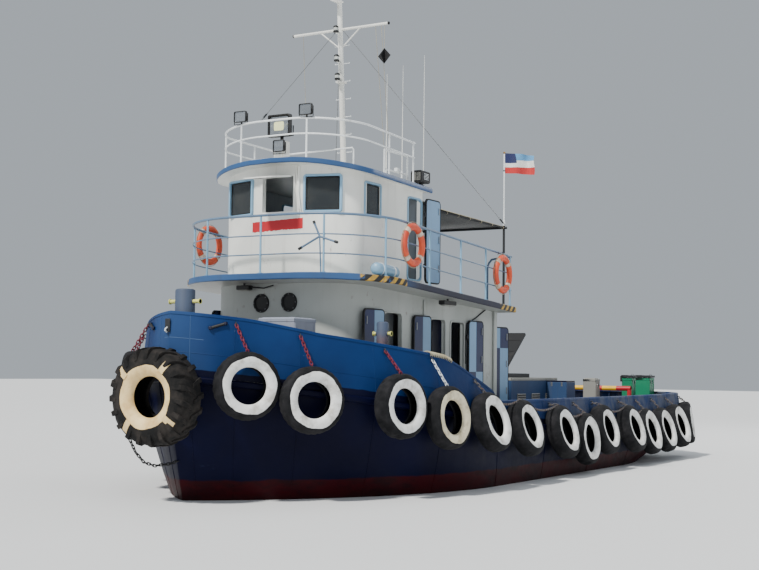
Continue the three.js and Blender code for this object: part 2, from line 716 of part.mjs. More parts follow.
function addMast() {
  const foot = roofTop(MAST.x, 0) - 12;
  const pieces = [
    rod([MAST.x, 0, foot], [MAST.topX, 0, MAST.topZ], MAST.radius, 10, MAST.topRadius),
    rod([MAST.x, 0, foot - 20], [MAST.x, 0, foot + 28], 130, 12),
    rod([mastX(YARD.z), -YARD.half, YARD.z], [mastX(YARD.z), YARD.half, YARD.z], 24, 8),
    box([150, 150, 30], [mastX(7150), 0, 7150]),
    box([260, 130, 25], [mastX(8600) + 90, 0, 8600]),
    rod([mastX(8600) + 160, 0, 8600], [mastX(8600) + 160, 0, 8730], 50, 10),
  ];
  const stayTop = [mastX(8150), 0, 8150];
  const forward = [roof.front - ROOF_RAIL.inset, -330];
  const frontRail = roofTop(forward[0], 0) + ROOF_RAIL.height;
  pieces.push(rod(stayTop, [forward[0] - 40, -300, frontRail + 30], 7, 5));
  for (const side of [PORT, STARBOARD]) {
    const eye = [CORNER_POST.x + 30, side * (CORNER_POST.y - 20), cornerPostTop + 6];
    pieces.push(rod(stayTop, eye, 7, 5));
  }
  add('mast', cut(join(pieces), [belowRoofTop]), 'white');
}

// Awning aft of the wheelhouse: posts at the aft corners, a frame, and the cloth
const cornerPostFoot = boatDeckTop(CORNER_POST.x) + GAP;
const cornerPostTop = 4750;
const AWNING = {
  frontX: 2930,
  frontZ: 5060,
  aftX: CORNER_POST.x - 10,
  half: 1900,
  kneeX: 2250,
  kneeHalf: 1320,
  depth: 26,
};

function addAwning() {
  const aftZ = cornerPostTop - 40;
  const pipeFrom = AWNING.aftX + 10;
  const pipeTo = wheelhouse.aft + 20;
  const slope = (AWNING.frontZ - 60 - aftZ) / (pipeTo - pipeFrom);
  const pipeZ = (x) => aftZ + slope * (x - pipeFrom);
  const pieces = [];
  pieces.push(rod([pipeFrom, -CORNER_POST.y, aftZ], [pipeFrom, CORNER_POST.y, aftZ], 24, 8));
  for (const side of [PORT, STARBOARD]) {
    const y = side * (CORNER_POST.y - 60);
    pieces.push(rod([CORNER_POST.x, y, cornerPostFoot + 2], [CORNER_POST.x, y, cornerPostTop], 24, 8));
    const wallY = side * (wheelhouse.halfAft - 90);
    const knee = [AWNING.kneeX, side * (AWNING.kneeHalf - 40), pipeZ(AWNING.kneeX)];
    pieces.push(pipe([[pipeFrom, y, aftZ], knee, [pipeTo, wallY, pipeZ(pipeTo)]], 20, 8));
  }
  const behind = box([4000, 8000, 8000], [wheelhouse.aft - GAP + 2000, 0, 5000]);
  add('awning_frame', cut(join(pieces), [belowBoatDeckTop, behind]), 'darkSteel');
  const rise = (x) => pipeZ(x) + 24 + GAP;
  const outline = [
    [AWNING.aftX - 60, AWNING.half],
    [AWNING.kneeX, AWNING.kneeHalf],
    [AWNING.frontX, wheelhouse.halfAft - 60],
  ];
  const rings = outline.map(([x, half]) => {
    return [
      [x, -half, rise(x)],
      [x, -half, rise(x) + AWNING.depth],
      [x, half, rise(x) + AWNING.depth],
      [x, half, rise(x)],
    ];
  });
  add('awning_cloth', skin(rings, fanCap(4)), 'cloth');
}

addAwning();
addMast();

// Lifebuoys on the boat deck rail. Columns: name, centre x, then by side the height of the centre
// above the deck and the radius of the rail or post that it lies against
const LIFEBUOY = { ring: 300, thick: 62 };
const lifebuoys = [
  { name: 'fore', x: 4630, rise: { port: 590, starboard: 740 }, bearing: { port: 18, starboard: 21 } },
  { name: 'aft', x: 1160, rise: { port: 550, starboard: 550 }, bearing: { port: 12, starboard: 12 } },
];

function addLifebuoys() {
  for (const [sideName, side] of SIDES) {
    for (const buoy of lifebuoys) {
      const geometry = new THREE.TorusGeometry(LIFEBUOY.ring, LIFEBUOY.thick, 6, 14);
      geometry.rotateX(Math.PI / 2);
      const railY = halfWidth(boatDeck, buoy.x) - BOAT_RAIL.inset;
      const y = side * (railY + buoy.bearing[sideName] + LIFEBUOY.thick * Math.sin(Math.PI / 3) + GAP);
      const at = [buoy.x, y, boatDeckTop(buoy.x) + buoy.rise[sideName]];
      add(`lifebuoy_${buoy.name}_${sideName}`, solid(geometry), 'orange', { at });
    }
  }
}
addLifebuoys();

// Bow post and the bollards at the bow's shoulders
const BOW_POST = { x: 7880, radius: 150, top: 3160 };
const BOLLARD = { x: 5450, y: 2020, radius: 95, top: 2740 };

function crossPost(at, radius, top, barHalf, barRadius) {
  const foot = deckZ(at[0]) - 300;
  const body = rod([at[0], at[1], foot], [at[0], at[1], top], radius, 14);
  const bar = rod([at[0], at[1] - barHalf, top - 190], [at[0], at[1] + barHalf, top - 190], barRadius, 10);
  return cut(join([body, bar]), [hullRaised]);
}
add('bow_post', crossPost([BOW_POST.x, 0], BOW_POST.radius, BOW_POST.top, 290, 32), 'darkSteel');
for (const [name, side] of SIDES) {
  const at = [BOLLARD.x, side * BOLLARD.y];
  add(`bollard_${name}`, crossPost(at, BOLLARD.radius, BOLLARD.top, 165, 28), 'darkSteel');
}

// Boxes that stand on the after deck: engine casing, lockers and their lids.
// Columns: name, x from and to, y from and to, top height, finish
const standing = [
  { name: 'engine_casing', x: [-4200, -1750], y: [-950, 950], top: 1840, finish: 'grey' },
  { name: 'tool_locker', x: [-4900, -4650], y: [1400, 1700], top: 1830, finish: 'grey' },
  { name: 'green_locker_fore', x: [-6750, -6500], y: [1650, 1900], top: 1850, finish: 'green' },
  { name: 'green_locker_aft', x: [-8200, -7850], y: [1500, 1870], top: 1850, finish: 'green' },
  { name: 'foredeck_box', x: [5750, 6350], y: [250, 950], top: 2780, finish: 'darkSteel' },
];
const LID = { depth: 50, lap: 25, bore: 10 };

function deckBox(spec) {
  const foot = DECK_LOW_Z - 60;
  const size = [spec.x[1] - spec.x[0], spec.y[1] - spec.y[0], spec.top - foot];
  const centre = [(spec.x[0] + spec.x[1]) / 2, (spec.y[0] + spec.y[1]) / 2, (spec.top + foot) / 2];
  return cut(box(size, centre), [hullRaised]);
}

const CASING_HATCH = { x: [-3350, -2050], y: [-650, 650], coaming: 90 };
const CASING_CHEST = { x: [-4100, -3600], y: [900, 1430], top: 1780, foot: DECK_LOW_Z - 60 };

function addDeckBoxes() {
  for (const spec of standing) {
    let body = deckBox(spec);
    if (spec.name === 'engine_casing') {
      const hatch = CASING_HATCH;
      const size = [hatch.x[1] - hatch.x[0], hatch.y[1] - hatch.y[0]];
      const centre = [(hatch.x[0] + hatch.x[1]) / 2, 0];
      const rim = box([size[0], size[1], 2 * hatch.coaming], [...centre, spec.top]);
      const well = box([size[0] - 100, size[1] - 100, 900], [...centre, spec.top - 100]);
      const chest = CASING_CHEST;
      const chestSize = [chest.x[1] - chest.x[0], chest.y[1] - chest.y[0], chest.top - chest.foot];
      const chestCentre = [chest.x, chest.y, [chest.foot, chest.top]].map(([a, b]) => (a + b) / 2);
      const chestBody = cut(box(chestSize, chestCentre), [hullRaised]);
      body = cut(join([body, chestBody, rim]), [well]);
    }
    add(spec.name, body, spec.finish);
  }
}
addDeckBoxes();

// A lid with its hinge barrels along local Y at the origin, reaching along +X
function lidSolid(length, width, depth, rise) {
  const board = box([length - 5, width, depth], [length / 2 + 32.5, 0, rise + depth / 2]);
  const pieces = [board];
  const holes = [];
  for (const y of [-width * 0.3, width * 0.3]) {
    pieces.push(rod([0, y - 30, 0], [0, y + 30, 0], 20, 12));
    pieces.push(box([70, 60, rise + depth], [40, y, (rise + depth) / 2]));
    holes.push(rod([0, y - 80, 0], [0, y + 80, 0], LID.bore, 12));
  }
  return cut(join(pieces), holes);
}

const HATCH_HINGE = { x: CASING_HATCH.x[1] + 40, z: standing[0].top + CASING_HATCH.coaming + 30 };
const CASING_LID_OPEN = 38;

function addLids() {
  const hatch = CASING_HATCH;
  const length = hatch.x[1] - hatch.x[0] + 40;
  const width = hatch.y[1] - hatch.y[0] + 60;
  const lid = lidSolid(length, width, LID.depth, -24);
  const geometry = geometryOf(lid);
  geometry.rotateZ(Math.PI);
  geometry.rotateY(THREE.MathUtils.degToRad(CASING_LID_OPEN));
  add('casing_lid', geometry, 'darkSteel', { at: [HATCH_HINGE.x, 0, HATCH_HINGE.z] });
  const stand = [];
  for (const y of [-width * 0.3, width * 0.3]) {
    const { x, z } = HATCH_HINGE;
    stand.push(rod([x, y - 60, z], [x, y + 60, z], PIN_RADIUS, 12));
    for (const end of [-48, 48]) {
      const foot = standing[0].top - 10;
      stand.push(box([40, 24, z + 16 - foot], [x, y + end, (z + 16 + foot) / 2]));
    }
  }
  const casing = group.getObjectByName('engine_casing');
  casing.geometry = geometryOf(join([solid(casing.geometry), ...stand]));
  for (const name of ['green_locker_fore', 'green_locker_aft']) {
    const spec = standing.find((entry) => entry.name === name);
    addLockerLid(spec);
  }
}

// A locker's lid opens toward the centreline, on two pins along X
function addLockerLid(spec) {
  const along = spec.x[1] - spec.x[0] + 2 * LID.lap;
  const reach = spec.y[1] - spec.y[0] + LID.lap;
  const hinge = [(spec.x[0] + spec.x[1]) / 2, spec.y[0] - 26, spec.top + 30];
  const lid = lidSolid(reach - 4, along, LID.depth, -24);
  const geometry = geometryOf(lid);
  geometry.rotateZ(Math.PI / 2);
  add(`${spec.name}_lid`, geometry, 'darkSteel', { at: hinge });
  const pins = [];
  for (const x of [-along * 0.3, along * 0.3]) {
    const [hingeX, hingeY, hingeZ] = hinge;
    pins.push(rod([hingeX + x - 58, hingeY, hingeZ], [hingeX + x + 58, hingeY, hingeZ], PIN_RADIUS, 12));
    for (const end of [-46, 46]) {
      const low = spec.top - 90;
      const high = hinge[2] + 15;
      pins.push(box([22, 40, high - low], [hinge[0] + x + end, hinge[1] + 7, (high + low) / 2]));
    }
  }
  const locker = group.getObjectByName(spec.name);
  locker.geometry = geometryOf(join([solid(locker.geometry), ...pins]));
}
addLids();

// Towing beam across the after deck, from bulwark to bulwark
function addTowBeam() {
  const x = -5500;
  const z = 1610;
  const foot = DECK_LOW_Z - 50;
  const half = 2230;
  const pieces = [rod([x, -half, z], [x, half, z], 55, 12)];
  for (const y of [-half + 40, half - 40]) {
    pieces.push(rod([x, y, foot], [x, y, z], 50, 10));
  }
  add('towing_beam', cut(join(pieces), [hullRaised]), 'red');
}
addTowBeam();

// Flagpole on the port corner post, and its flag
const FLAG = { height: 400, length: 580, thick: 6, heading: 120 };

function addFlag() {
  const x = CORNER_POST.x;
  const y = CORNER_POST.y - 60;
  const foot = cornerPostTop + GAP;
  add('flagpole', rod([x, y, foot], [x, y, 6180], 14, 24), 'white');
  const geometry = new THREE.BoxGeometry(FLAG.length, FLAG.thick, FLAG.height);
  geometry.translate(14 + GAP + FLAG.length / 2, 0, 6160 - FLAG.height / 2);
  geometry.rotateZ(THREE.MathUtils.degToRad(FLAG.heading));
  geometry.translate(x, y, 0);
  add('flag', solid(geometry), 'red');
}
addFlag();

// Shaft, propeller, rudder
function bladeSolid() {
  // Columns: radius, chord, pitch angle in degrees, thickness
  const sections = [
    [95, 250, 62, 62],
    [230, 360, 45, 44],
    [380, 420, 33, 28],
    [500, 330, 27, 18],
    [PROPELLER_RADIUS, 140, 25, 12],
  ];
  const rings = sections.map(([radius, chord, pitch, thick]) => {
    const angle = THREE.MathUtils.degToRad(pitch);
    const along = [Math.sin(angle), Math.cos(angle)];
    const across = [Math.cos(angle), -Math.sin(angle)];
    const outline = [[-0.5, 0], [-0.2, 0.45], [0.25, 0.5], [0.5, 0], [0.25, -0.5], [-0.2, -0.45]];
    return outline.map(([u, v]) => [
      u * chord * along[0] + v * thick * across[0],
      u * chord * along[1] + v * thick * across[1],
      radius,
    ]);
  });
  return skin(rings, fanCap(6));
}

function addPropeller() {
  const pieces = [rod([170, 0, 0], [-170, 0, 0], 118, 14, 92)];
  const blade = bladeSolid();
  for (let i = 0; i < 4; i += 1) {
    pieces.push(blade.rotate([90 * i, 0, 0]));
  }
  pieces.push(rod([-165, 0, 0], [-270, 0, 0], 92, 14, 45));
  pieces.push(rod([160, 0, 0], [BORE_END_X - GAP - PROPELLER_X, 0, 0], 55, 14));
  add('propeller', join(pieces), 'bronze', { at: [PROPELLER_X, 0, SHAFT_Z] });
}

// Rudder sizes: its foot above the sole, its head, and its chord ahead of and behind the stock
const RUDDER = { foot: SOLE_TOP + 40, head: -730, ahead: 170, behind: 640, thick: 110 };

function addRudder() {
  // Columns: distance from the stock along X, share of the thickness
  const outline = [
    [RUDDER.ahead, 0.3],
    [RUDDER.ahead * 0.6, 0.9],
    [-60, 1],
    [-RUDDER.behind * 0.6, 0.7],
    [-RUDDER.behind, 0.15],
  ];
  const ring = (z) => [
    ...outline.map(([x, share]) => [x, (RUDDER.thick * share) / 2, z]),
    ...outline.map(([x, share]) => [x, (-RUDDER.thick * share) / 2, z]).reverse(),
  ];
  const blade = skin([ring(RUDDER.foot), ring(RUDDER.head)], fanCap(10));
  const stock = rod([0, 0, RUDDER.foot + 200], [0, 0, RUDDER_TUBE_Z - GAP], 50, 14);
  const pintleTop = SOLE_TOP + PINTLE.height;
  const gudgeon = rod([0, 0, RUDDER.foot], [0, 0, pintleTop + 60], 62, 14);
  const socket = rod([0, 0, SOLE_TOP], [0, 0, pintleTop + GAP], PINTLE.radius + 3, 12);
  add('rudder', cut(join([blade, stock, gudgeon]), [socket]), 'darkSteel', { at: [RUDDER_X, 0, 0] });
}
addPropeller();
addRudder();

// Tyre fenders on a rubbing strake along each side, and a large tractor tyre on the stem.
// Columns: centre x on the deck edge, height of the centre, tilt of the top inboard in degrees,
// turn of the face aft of the hull side's own heading in degrees
const tyres = [
  [7655, 1715, 2, 15], [6975, 1510, 3, 9], [5755, 1415, 4, 11], [4800, 1220, 6, 5], [3510, 1090, 17, 0],
  [2115, 945, 17, 0], [400, 820, 16, 0], [-800, 665, 7, 0], [-1820, 790, 15, 0], [-3360, 750, 17, 0],
  [-4450, 660, 16, 0], [-5500, 660, 16, 0], [-6510, 715, 17, 0], [-7540, 775, 8, 0],
];
const UPPER_REACH = 400;
const UPPER_ROOM = 51;
const MOST_HOLLOW = 65;
const TURN_REACH = 110;
const TYRE = { radius: 505, bead: 290, width: 285 };
const STRAKE = { depth: 60, height: 110, bite: 22 };
// Columns: radius share between bead and tread, share of the width
const tyreProfile = [[0, 0.2], [0.5, 0], [1, 0.25], [1, 0.78], [0.35, 1]];

function tyreSolid(size, profile, segments) {
  const points = profile.map(([out, across]) => (
    new THREE.Vector2(size.bead + out * (size.radius - size.bead), across * size.width)
  ));
  points.push(points[0].clone());
  const geometry = new THREE.LatheGeometry(points, segments);
  return solid(geometry);
}

// The deck edge's position and outward heading near x
function edgeAt(x, side) {
  const step = 20;
  const y = halfBreadth(deckLevel, x);
  const slope = (halfBreadth(deckLevel, x + step) - halfBreadth(deckLevel, x - step)) / (2 * step);
  const heading = Math.atan2(1, -slope);
  const reach = 0.75 * TYRE.radius;
  const away = [PORT, STARBOARD].map((way) => {
    const farX = x + way * reach * Math.sin(heading);
    const farY = halfBreadth(deckLevel, farX);
    return (x - farX) * Math.cos(heading) + (y - farY) * Math.sin(heading);
  });
  const hollow = THREE.MathUtils.clamp((away[0] + away[1]) / 2, 0, MOST_HOLLOW);
  return { y: side * y, heading: side * heading, hollow };
}

function strakeSolid(side) {
  const rings = range(0, HULL_STEPS).map((index) => {
    const { here, inboard } = edgeFrame(index, side);
    const [x, y, top] = here;
    const at = (out, height) => [
      x - inboard.x * out,
      side * Math.max(side * (y - inboard.y * out), GAP / 2),
      height,
    ];
    const foot = top - STRAKE.height;
    return [at(GAP, top), at(STRAKE.depth, top - 25), at(STRAKE.depth, foot + 25), at(GAP, foot)];
  });
  return skin(rings, fanCap(4));
}

function addTyreFenders() {
  const strakes = [];
  for (const [name, side] of SIDES) {
    const strake = strakeSolid(side);
    strakes.push(strake);
    const hullSide = hull.translate([0, side * GAP, 0]);
    const row = tyres.map(([x, z, tilt, turn]) => {
      const { y, heading, hollow } = edgeAt(x, side);
      const geometry = geometryOf(tyreSolid(TYRE, tyreProfile, 12));
      const [lean, yaw] = [tilt, turn].map(THREE.MathUtils.degToRad);
      geometry.rotateX(lean);
      geometry.rotateZ(heading + side * yaw - Math.PI / 2);
      const bearing = Math.max(STRAKE.depth - STRAKE.bite, UPPER_REACH * Math.tan(lean) - UPPER_ROOM);
      const out = bearing - hollow + TURN_REACH * Math.sin(yaw);
      geometry.translate(x + out * Math.cos(heading), y + out * Math.sin(heading), z);
      return turn === 0 ? solid(geometry) : cut(solid(geometry), [hullSide]);
    });
    const bearing = ['bulwark_bow', 'bulwark_stern', `bulwark_${name}`].map((part) => (
      solid(group.getObjectByName(part).geometry)
    ));
    const shifts = [[0, side * GAP, 0], [-GAP, side * GAP, 0], [0, 0, 0], [0, -side * BULWARK_PLATE, 0]];
    const cutters = bearing.flatMap((piece) => shifts.map((shift) => piece.translate(shift)));
    add(`tyre_fenders_${name}`, cut(join([strake, ...row]), cutters), 'rubber');
  }
}
addTyreFenders();

// The bow tyre stands on the stem, with lugs round its tread
const BOW_TYRE = { radius: 740, bead: 300, width: 520, x: STEM_X - 15, z: 1550, lugs: 20 };
const bowTyreProfile = [[0, 0.1], [0.4, 0], [0.93, 0.16], [0.93, 0.84], [0.4, 1], [0, 0.84]];

function addBowTyre() {
  const geometry = geometryOf(tyreSolid(BOW_TYRE, bowTyreProfile, 20));
  geometry.rotateZ(-Math.PI / 2);
  geometry.translate(BOW_TYRE.x, 0, BOW_TYRE.z);
  const lugs = [];
  for (let i = 0; i < BOW_TYRE.lugs; i += 1) {
    const angle = (2 * Math.PI * (i + 0.5)) / BOW_TYRE.lugs;
    const forward = i % 2 === 0;
    const lug = new THREE.BoxGeometry(BOW_TYRE.width * 0.42, 75, 70);
    lug.rotateZ(forward ? 0.45 : -0.45);
    lug.translate(BOW_TYRE.x + BOW_TYRE.width * (forward ? 0.7 : 0.3), 0, BOW_TYRE.radius - 38);
    lug.translate(-BOW_TYRE.x, 0, 0);
    lug.rotateX(angle);
    lug.translate(BOW_TYRE.x, 0, BOW_TYRE.z);
    lugs.push(solid(lug));
  }
  const bearing = [hull, ...['bulwark_bow', 'tyre_fenders_port', 'tyre_fenders_starboard'].map((name) => (
    solid(group.getObjectByName(name).geometry)
  ))];
  const cutters = bearing.map((piece) => piece.translate([GAP, 0, 0]));
  add('bow_tyre', cut(join([solid(geometry), ...lugs]), cutters), 'rubber');
}
addBowTyre();

// Loudspeaker on the roof's port quarter
function addSpeaker() {
  const [x, y] = [3110, 1400];
  const foot = roofTop(x, y) - 30;
  const pieces = [
    box([60, 60, 120], [x, y, foot + 40]),
    box([340, 230, 220], [x, y, foot + 175]),
  ];
  add('loudspeaker', cut(join(pieces), [belowRoofTop]), 'darkSteel');
}
addSpeaker();

export default group;
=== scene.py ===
"""Looks of the harbour tugboat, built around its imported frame."""
import random
from math import acos, atan2, copysign, cos, hypot, pi, radians, sin, sqrt, tan

import bmesh
import bpy
from mathutils import Matrix, Vector


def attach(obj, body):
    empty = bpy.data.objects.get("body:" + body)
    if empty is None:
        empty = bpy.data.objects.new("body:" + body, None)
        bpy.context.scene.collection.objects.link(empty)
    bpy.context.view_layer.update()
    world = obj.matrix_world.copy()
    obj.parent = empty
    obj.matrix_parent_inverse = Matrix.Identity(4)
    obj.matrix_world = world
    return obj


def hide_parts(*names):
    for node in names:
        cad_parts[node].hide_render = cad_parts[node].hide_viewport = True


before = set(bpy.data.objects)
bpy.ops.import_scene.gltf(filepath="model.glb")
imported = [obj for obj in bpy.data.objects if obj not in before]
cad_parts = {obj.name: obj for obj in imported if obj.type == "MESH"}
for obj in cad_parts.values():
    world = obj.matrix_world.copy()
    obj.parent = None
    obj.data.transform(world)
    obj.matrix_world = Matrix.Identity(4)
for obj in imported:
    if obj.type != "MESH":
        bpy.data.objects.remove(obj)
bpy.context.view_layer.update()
BOAT = "boat"
PORT = 1
STARBOARD = -1
SIDES = (("port", PORT), ("starboard", STARBOARD))
BOTH = (PORT, STARBOARD)


def moved(at):
    return Matrix.Translation(at)


def turned(angle, axis):
    return Matrix.Rotation(angle, 4, axis)


def circle(count):
    """Angles of evenly spaced points round a circle"""
    return [2 * pi * k / count for k in range(count)]


def levels(loops):
    """Outlines in X and Y, each lifted to its own height"""
    return [[(u, v, w) for u, v in loop] for loop, w in loops]


# Camera at the photograph's viewing angle
def add_camera():
    data = bpy.data.cameras.new("camera")
    data.sensor_width = 36.0
    data.lens = 61.66
    data.clip_end = 500.0
    camera = bpy.data.objects.new("camera", data)
    right = Vector((-0.50684, 0.86196, 0.01197))
    up = Vector((0.06132, 0.02219, 0.99787))
    ahead = Vector((-0.85986, -0.50649, 0.06410))
    turn = Matrix((right, up, -ahead)).transposed().to_4x4()
    camera.matrix_world = moved((23.207, 12.413, 2.0)) @ turn
    bpy.context.scene.collection.objects.link(camera)
    bpy.context.scene.camera = camera


add_camera()


# Colours: sRGB figures to the linear values that shaders take
def colour(red, green, blue):
    def linear(value):
        value /= 255
        return value / 12.92 if value <= 0.04045 else ((value + 0.055) / 1.055) ** 2.4
    return (linear(red), linear(green), linear(blue), 1.0)


def shade(tint, factor):
    return tuple(min(c * factor, 1.0) for c in tint[:3]) + (1.0,)


class Paint:
    """A procedural material: small helpers that add and join its nodes"""

    def __init__(self, name):
        self.material = bpy.data.materials.new(name)
        self.material.use_nodes = True
        self.tree = self.material.node_tree
        self.shader = self.tree.nodes["Principled BSDF"]
        self.place = self.tree.nodes.new("ShaderNodeTexCoord").outputs["Object"]

    def put(self, value, socket):
        if isinstance(value, bpy.types.NodeSocket):
            self.tree.links.new(value, socket)
        else:
            socket.default_value = value

    def math(self, operation, first, second=0.0):
        node = self.tree.nodes.new("ShaderNodeMath")
        node.operation = operation
        self.put(first, node.inputs[0])
        self.put(second, node.inputs[1])
        return node.outputs[0]

    def times(self, first, second):
        return self.math("MULTIPLY", first, second)

    def plus(self, first, second):
        return self.math("ADD", first, second)

    def minus(self, first, second):
        return self.math("SUBTRACT", first, second)

    def rest(self, share):
        return self.minus(1.0, share)

    def step(self, value, low, high):
        """0 below low, 1 above high, smooth between"""
        node = self.tree.nodes.new("ShaderNodeMapRange")
        node.interpolation_type = "SMOOTHSTEP"
        node.clamp = True
        self.put(value, node.inputs["Value"])
        node.inputs["From Min"].default_value = low
        node.inputs["From Max"].default_value = high
        return node.outputs["Result"]

    def stretched(self, stretch, shift=0.0):
        node = self.tree.nodes.new("ShaderNodeMapping")
        self.tree.links.new(self.place, node.inputs["Vector"])
        node.inputs["Scale"].default_value = stretch
        node.inputs["Location"].default_value = (shift, shift * 0.7, shift * 1.3)
        return node.outputs["Vector"]

    def noise(self, scale, detail=4.0, rough=0.55, stretch=(1, 1, 1), shift=0.0):
        node = self.tree.nodes.new("ShaderNodeTexNoise")
        self.tree.links.new(self.stretched(stretch, shift), node.inputs["Vector"])
        node.inputs["Scale"].default_value = scale
        node.inputs["Detail"].default_value = detail
        node.inputs["Roughness"].default_value = rough
        return node.outputs["Fac"]

    def patches(self, low, high, *options, **more):
        """Noise sharpened to patches: 0 below low, 1 above high"""
        return self.step(self.noise(*options, **more), low, high)

    def wave(self, value):
        return self.math("SINE", value)

    def axis(self, letter):
        node = self.tree.nodes.new("ShaderNodeSeparateXYZ")
        self.tree.links.new(self.place, node.inputs["Vector"])
        return node.outputs[letter]

    def attribute(self, name):
        node = self.tree.nodes.new("ShaderNodeAttribute")
        node.attribute_name = name
        return node.outputs["Fac"]

    def mix(self, factor, first, second):
        node = self.tree.nodes.new("ShaderNodeMix")
        node.data_type = "RGBA"
        self.put(factor, node.inputs["Factor"])
        self.put(first, node.inputs[6])
        self.put(second, node.inputs[7])
        return node.outputs[2]

    def bump(self, height, distance, strength=1.0):
        node = self.tree.nodes.new("ShaderNodeBump")
        node.inputs["Distance"].default_value = distance
        node.inputs["Strength"].default_value = strength
        self.put(height, node.inputs["Height"])
        if self.shader.inputs["Normal"].is_linked:
            before = self.shader.inputs["Normal"].links[0].from_socket
            self.tree.links.new(before, node.inputs["Normal"])
        self.tree.links.new(node.outputs["Normal"], self.shader.inputs["Normal"])

    def grain(self, depth, strength, *options, **more):
        """Bumps of noise"""
        self.bump(self.noise(*options, **more), depth, strength)

    def fix(self, name, value):
        self.shader.inputs[name].default_value = value

    def finish(self, base, rough=0.5, metallic=0.0, coat=0.0):
        self.put(base, self.shader.inputs["Base Color"])
        self.put(rough, self.shader.inputs["Roughness"])
        self.put(metallic, self.shader.inputs["Metallic"])
        self.fix("Coat Weight", coat)
        self.fix("Coat Roughness", 0.25)
        return self.material


RUST = colour(96, 48, 26)
RUST_DARK = colour(54, 30, 22)
GRIME = colour(70, 66, 58)


def weather(paint, base, dirt, rust, shift=0.0, grime=GRIME):
    """Broad fading, rain streaks and rust freckles over a base colour"""
    tone = paint.mix(paint.patches(0.3, 0.72, 0.8, 3, 0.5, shift=shift), shade(base, 0.84), shade(base, 1.1))
    streak = paint.noise(5.0, 6, 0.6, stretch=(1.6, 1.6, 0.12), shift=shift + 3)
    tone = paint.mix(paint.times(paint.step(streak, 0.52, 0.8), dirt), tone, grime)
    speck = paint.noise(9.0, 9, 0.68, stretch=(1, 1, 0.55), shift=shift + 7)
    patch = paint.noise(1.3, 4, 0.6, shift=shift + 11)
    spots = paint.times(paint.step(speck, 0.60, 0.68), paint.step(patch, 0.45, 0.66))
    return paint.mix(paint.times(spots, rust), tone, RUST), spots


def painted(name, base, rough, dirt, rust, dents, shift, coat):
    """Plain paint with weather on it"""
    paint = Paint(name)
    tone, spots = weather(paint, base, dirt, rust, shift)
    uneven = paint.noise(26, 3, 0.5, shift=shift)
    gloss = paint.plus(paint.times(uneven, 0.16), rough - 0.08)
    gloss = paint.plus(gloss, paint.times(spots, 0.35))
    paint.grain(0.0006, 0.5, 140, 2, 0.5)
    paint.bump(spots, 0.0012, 0.8)
    if dents:
        paint.bump(paint.noise(1.5, 2, 0.4, shift=shift), dents, 1.0)
    return paint.finish(tone, gloss, 0.0, coat)


# NAVY and NAVY_DEEP are near black; on the hull this is partly the paint's own navy and partly painted shade of
# the flared hull
NAVY = colour(2, 5, 40)
NAVY_DEEP = colour(0, 1, 28)
BULWARK_BLUE = colour(14, 50, 100)
FASCIA_BLUE = colour(46, 82, 128)
WHITE = colour(238, 238, 232)
LIGHT_BLUE = colour(132, 172, 200)
BOOT_RED = colour(52, 2, 10)


def hull_tone_and_shade(paint):
    """Near-black navy, partly the paint's own and partly painted shade of the flared hull below the knuckle, with
    faint paler scrapes
    """
    broad = paint.patches(0.3, 0.7, 0.5, 3)
    tone = paint.mix(broad, NAVY, NAVY_DEEP)
    scrape = paint.noise(4.5, 9, 0.74, stretch=(0.35, 0.35, 1.2), shift=20)
    where = paint.patches(0.5, 0.66, 0.9, 3, 0.5, shift=44)
    marks = paint.times(paint.step(scrape, 0.64, 0.69), where)
    return paint.mix(paint.times(marks, 0.45), tone, colour(60, 74, 104))


def hull_material():
    """Navy with painted shade above a worn red boot-top, darker and fouled below the water"""
    paint = Paint("hull_plating_with_shade")
    z = paint.axis("Z")
    edge = paint.plus(z, paint.times(paint.noise(2.2, 5, 0.6), 0.09))
    red = paint.mix(paint.patches(0.4, 0.7, 3.0, 7, 0.7, stretch=(0.4, 0.4, 1)), BOOT_RED, colour(26, 6, 12))
    tone = paint.mix(paint.step(edge, 0.335, 0.365), red, hull_tone_and_shade(paint))
    slime = paint.rest(paint.step(edge, -0.02, 0.16))
    tone = paint.mix(paint.times(slime, 0.4), tone, colour(22, 26, 20))
    paint.grain(0.02, 0.55, 0.9, 2, 0.4, stretch=(1.2, 1, 0.8))
    paint.grain(0.0012, 0.5, 60, 3, 0.5)
    paint.fix("Specular IOR Level", 0.1)
    gloss = paint.plus(paint.times(paint.noise(8, 4), 0.2), 0.42)
    return paint.finish(tone, gloss)


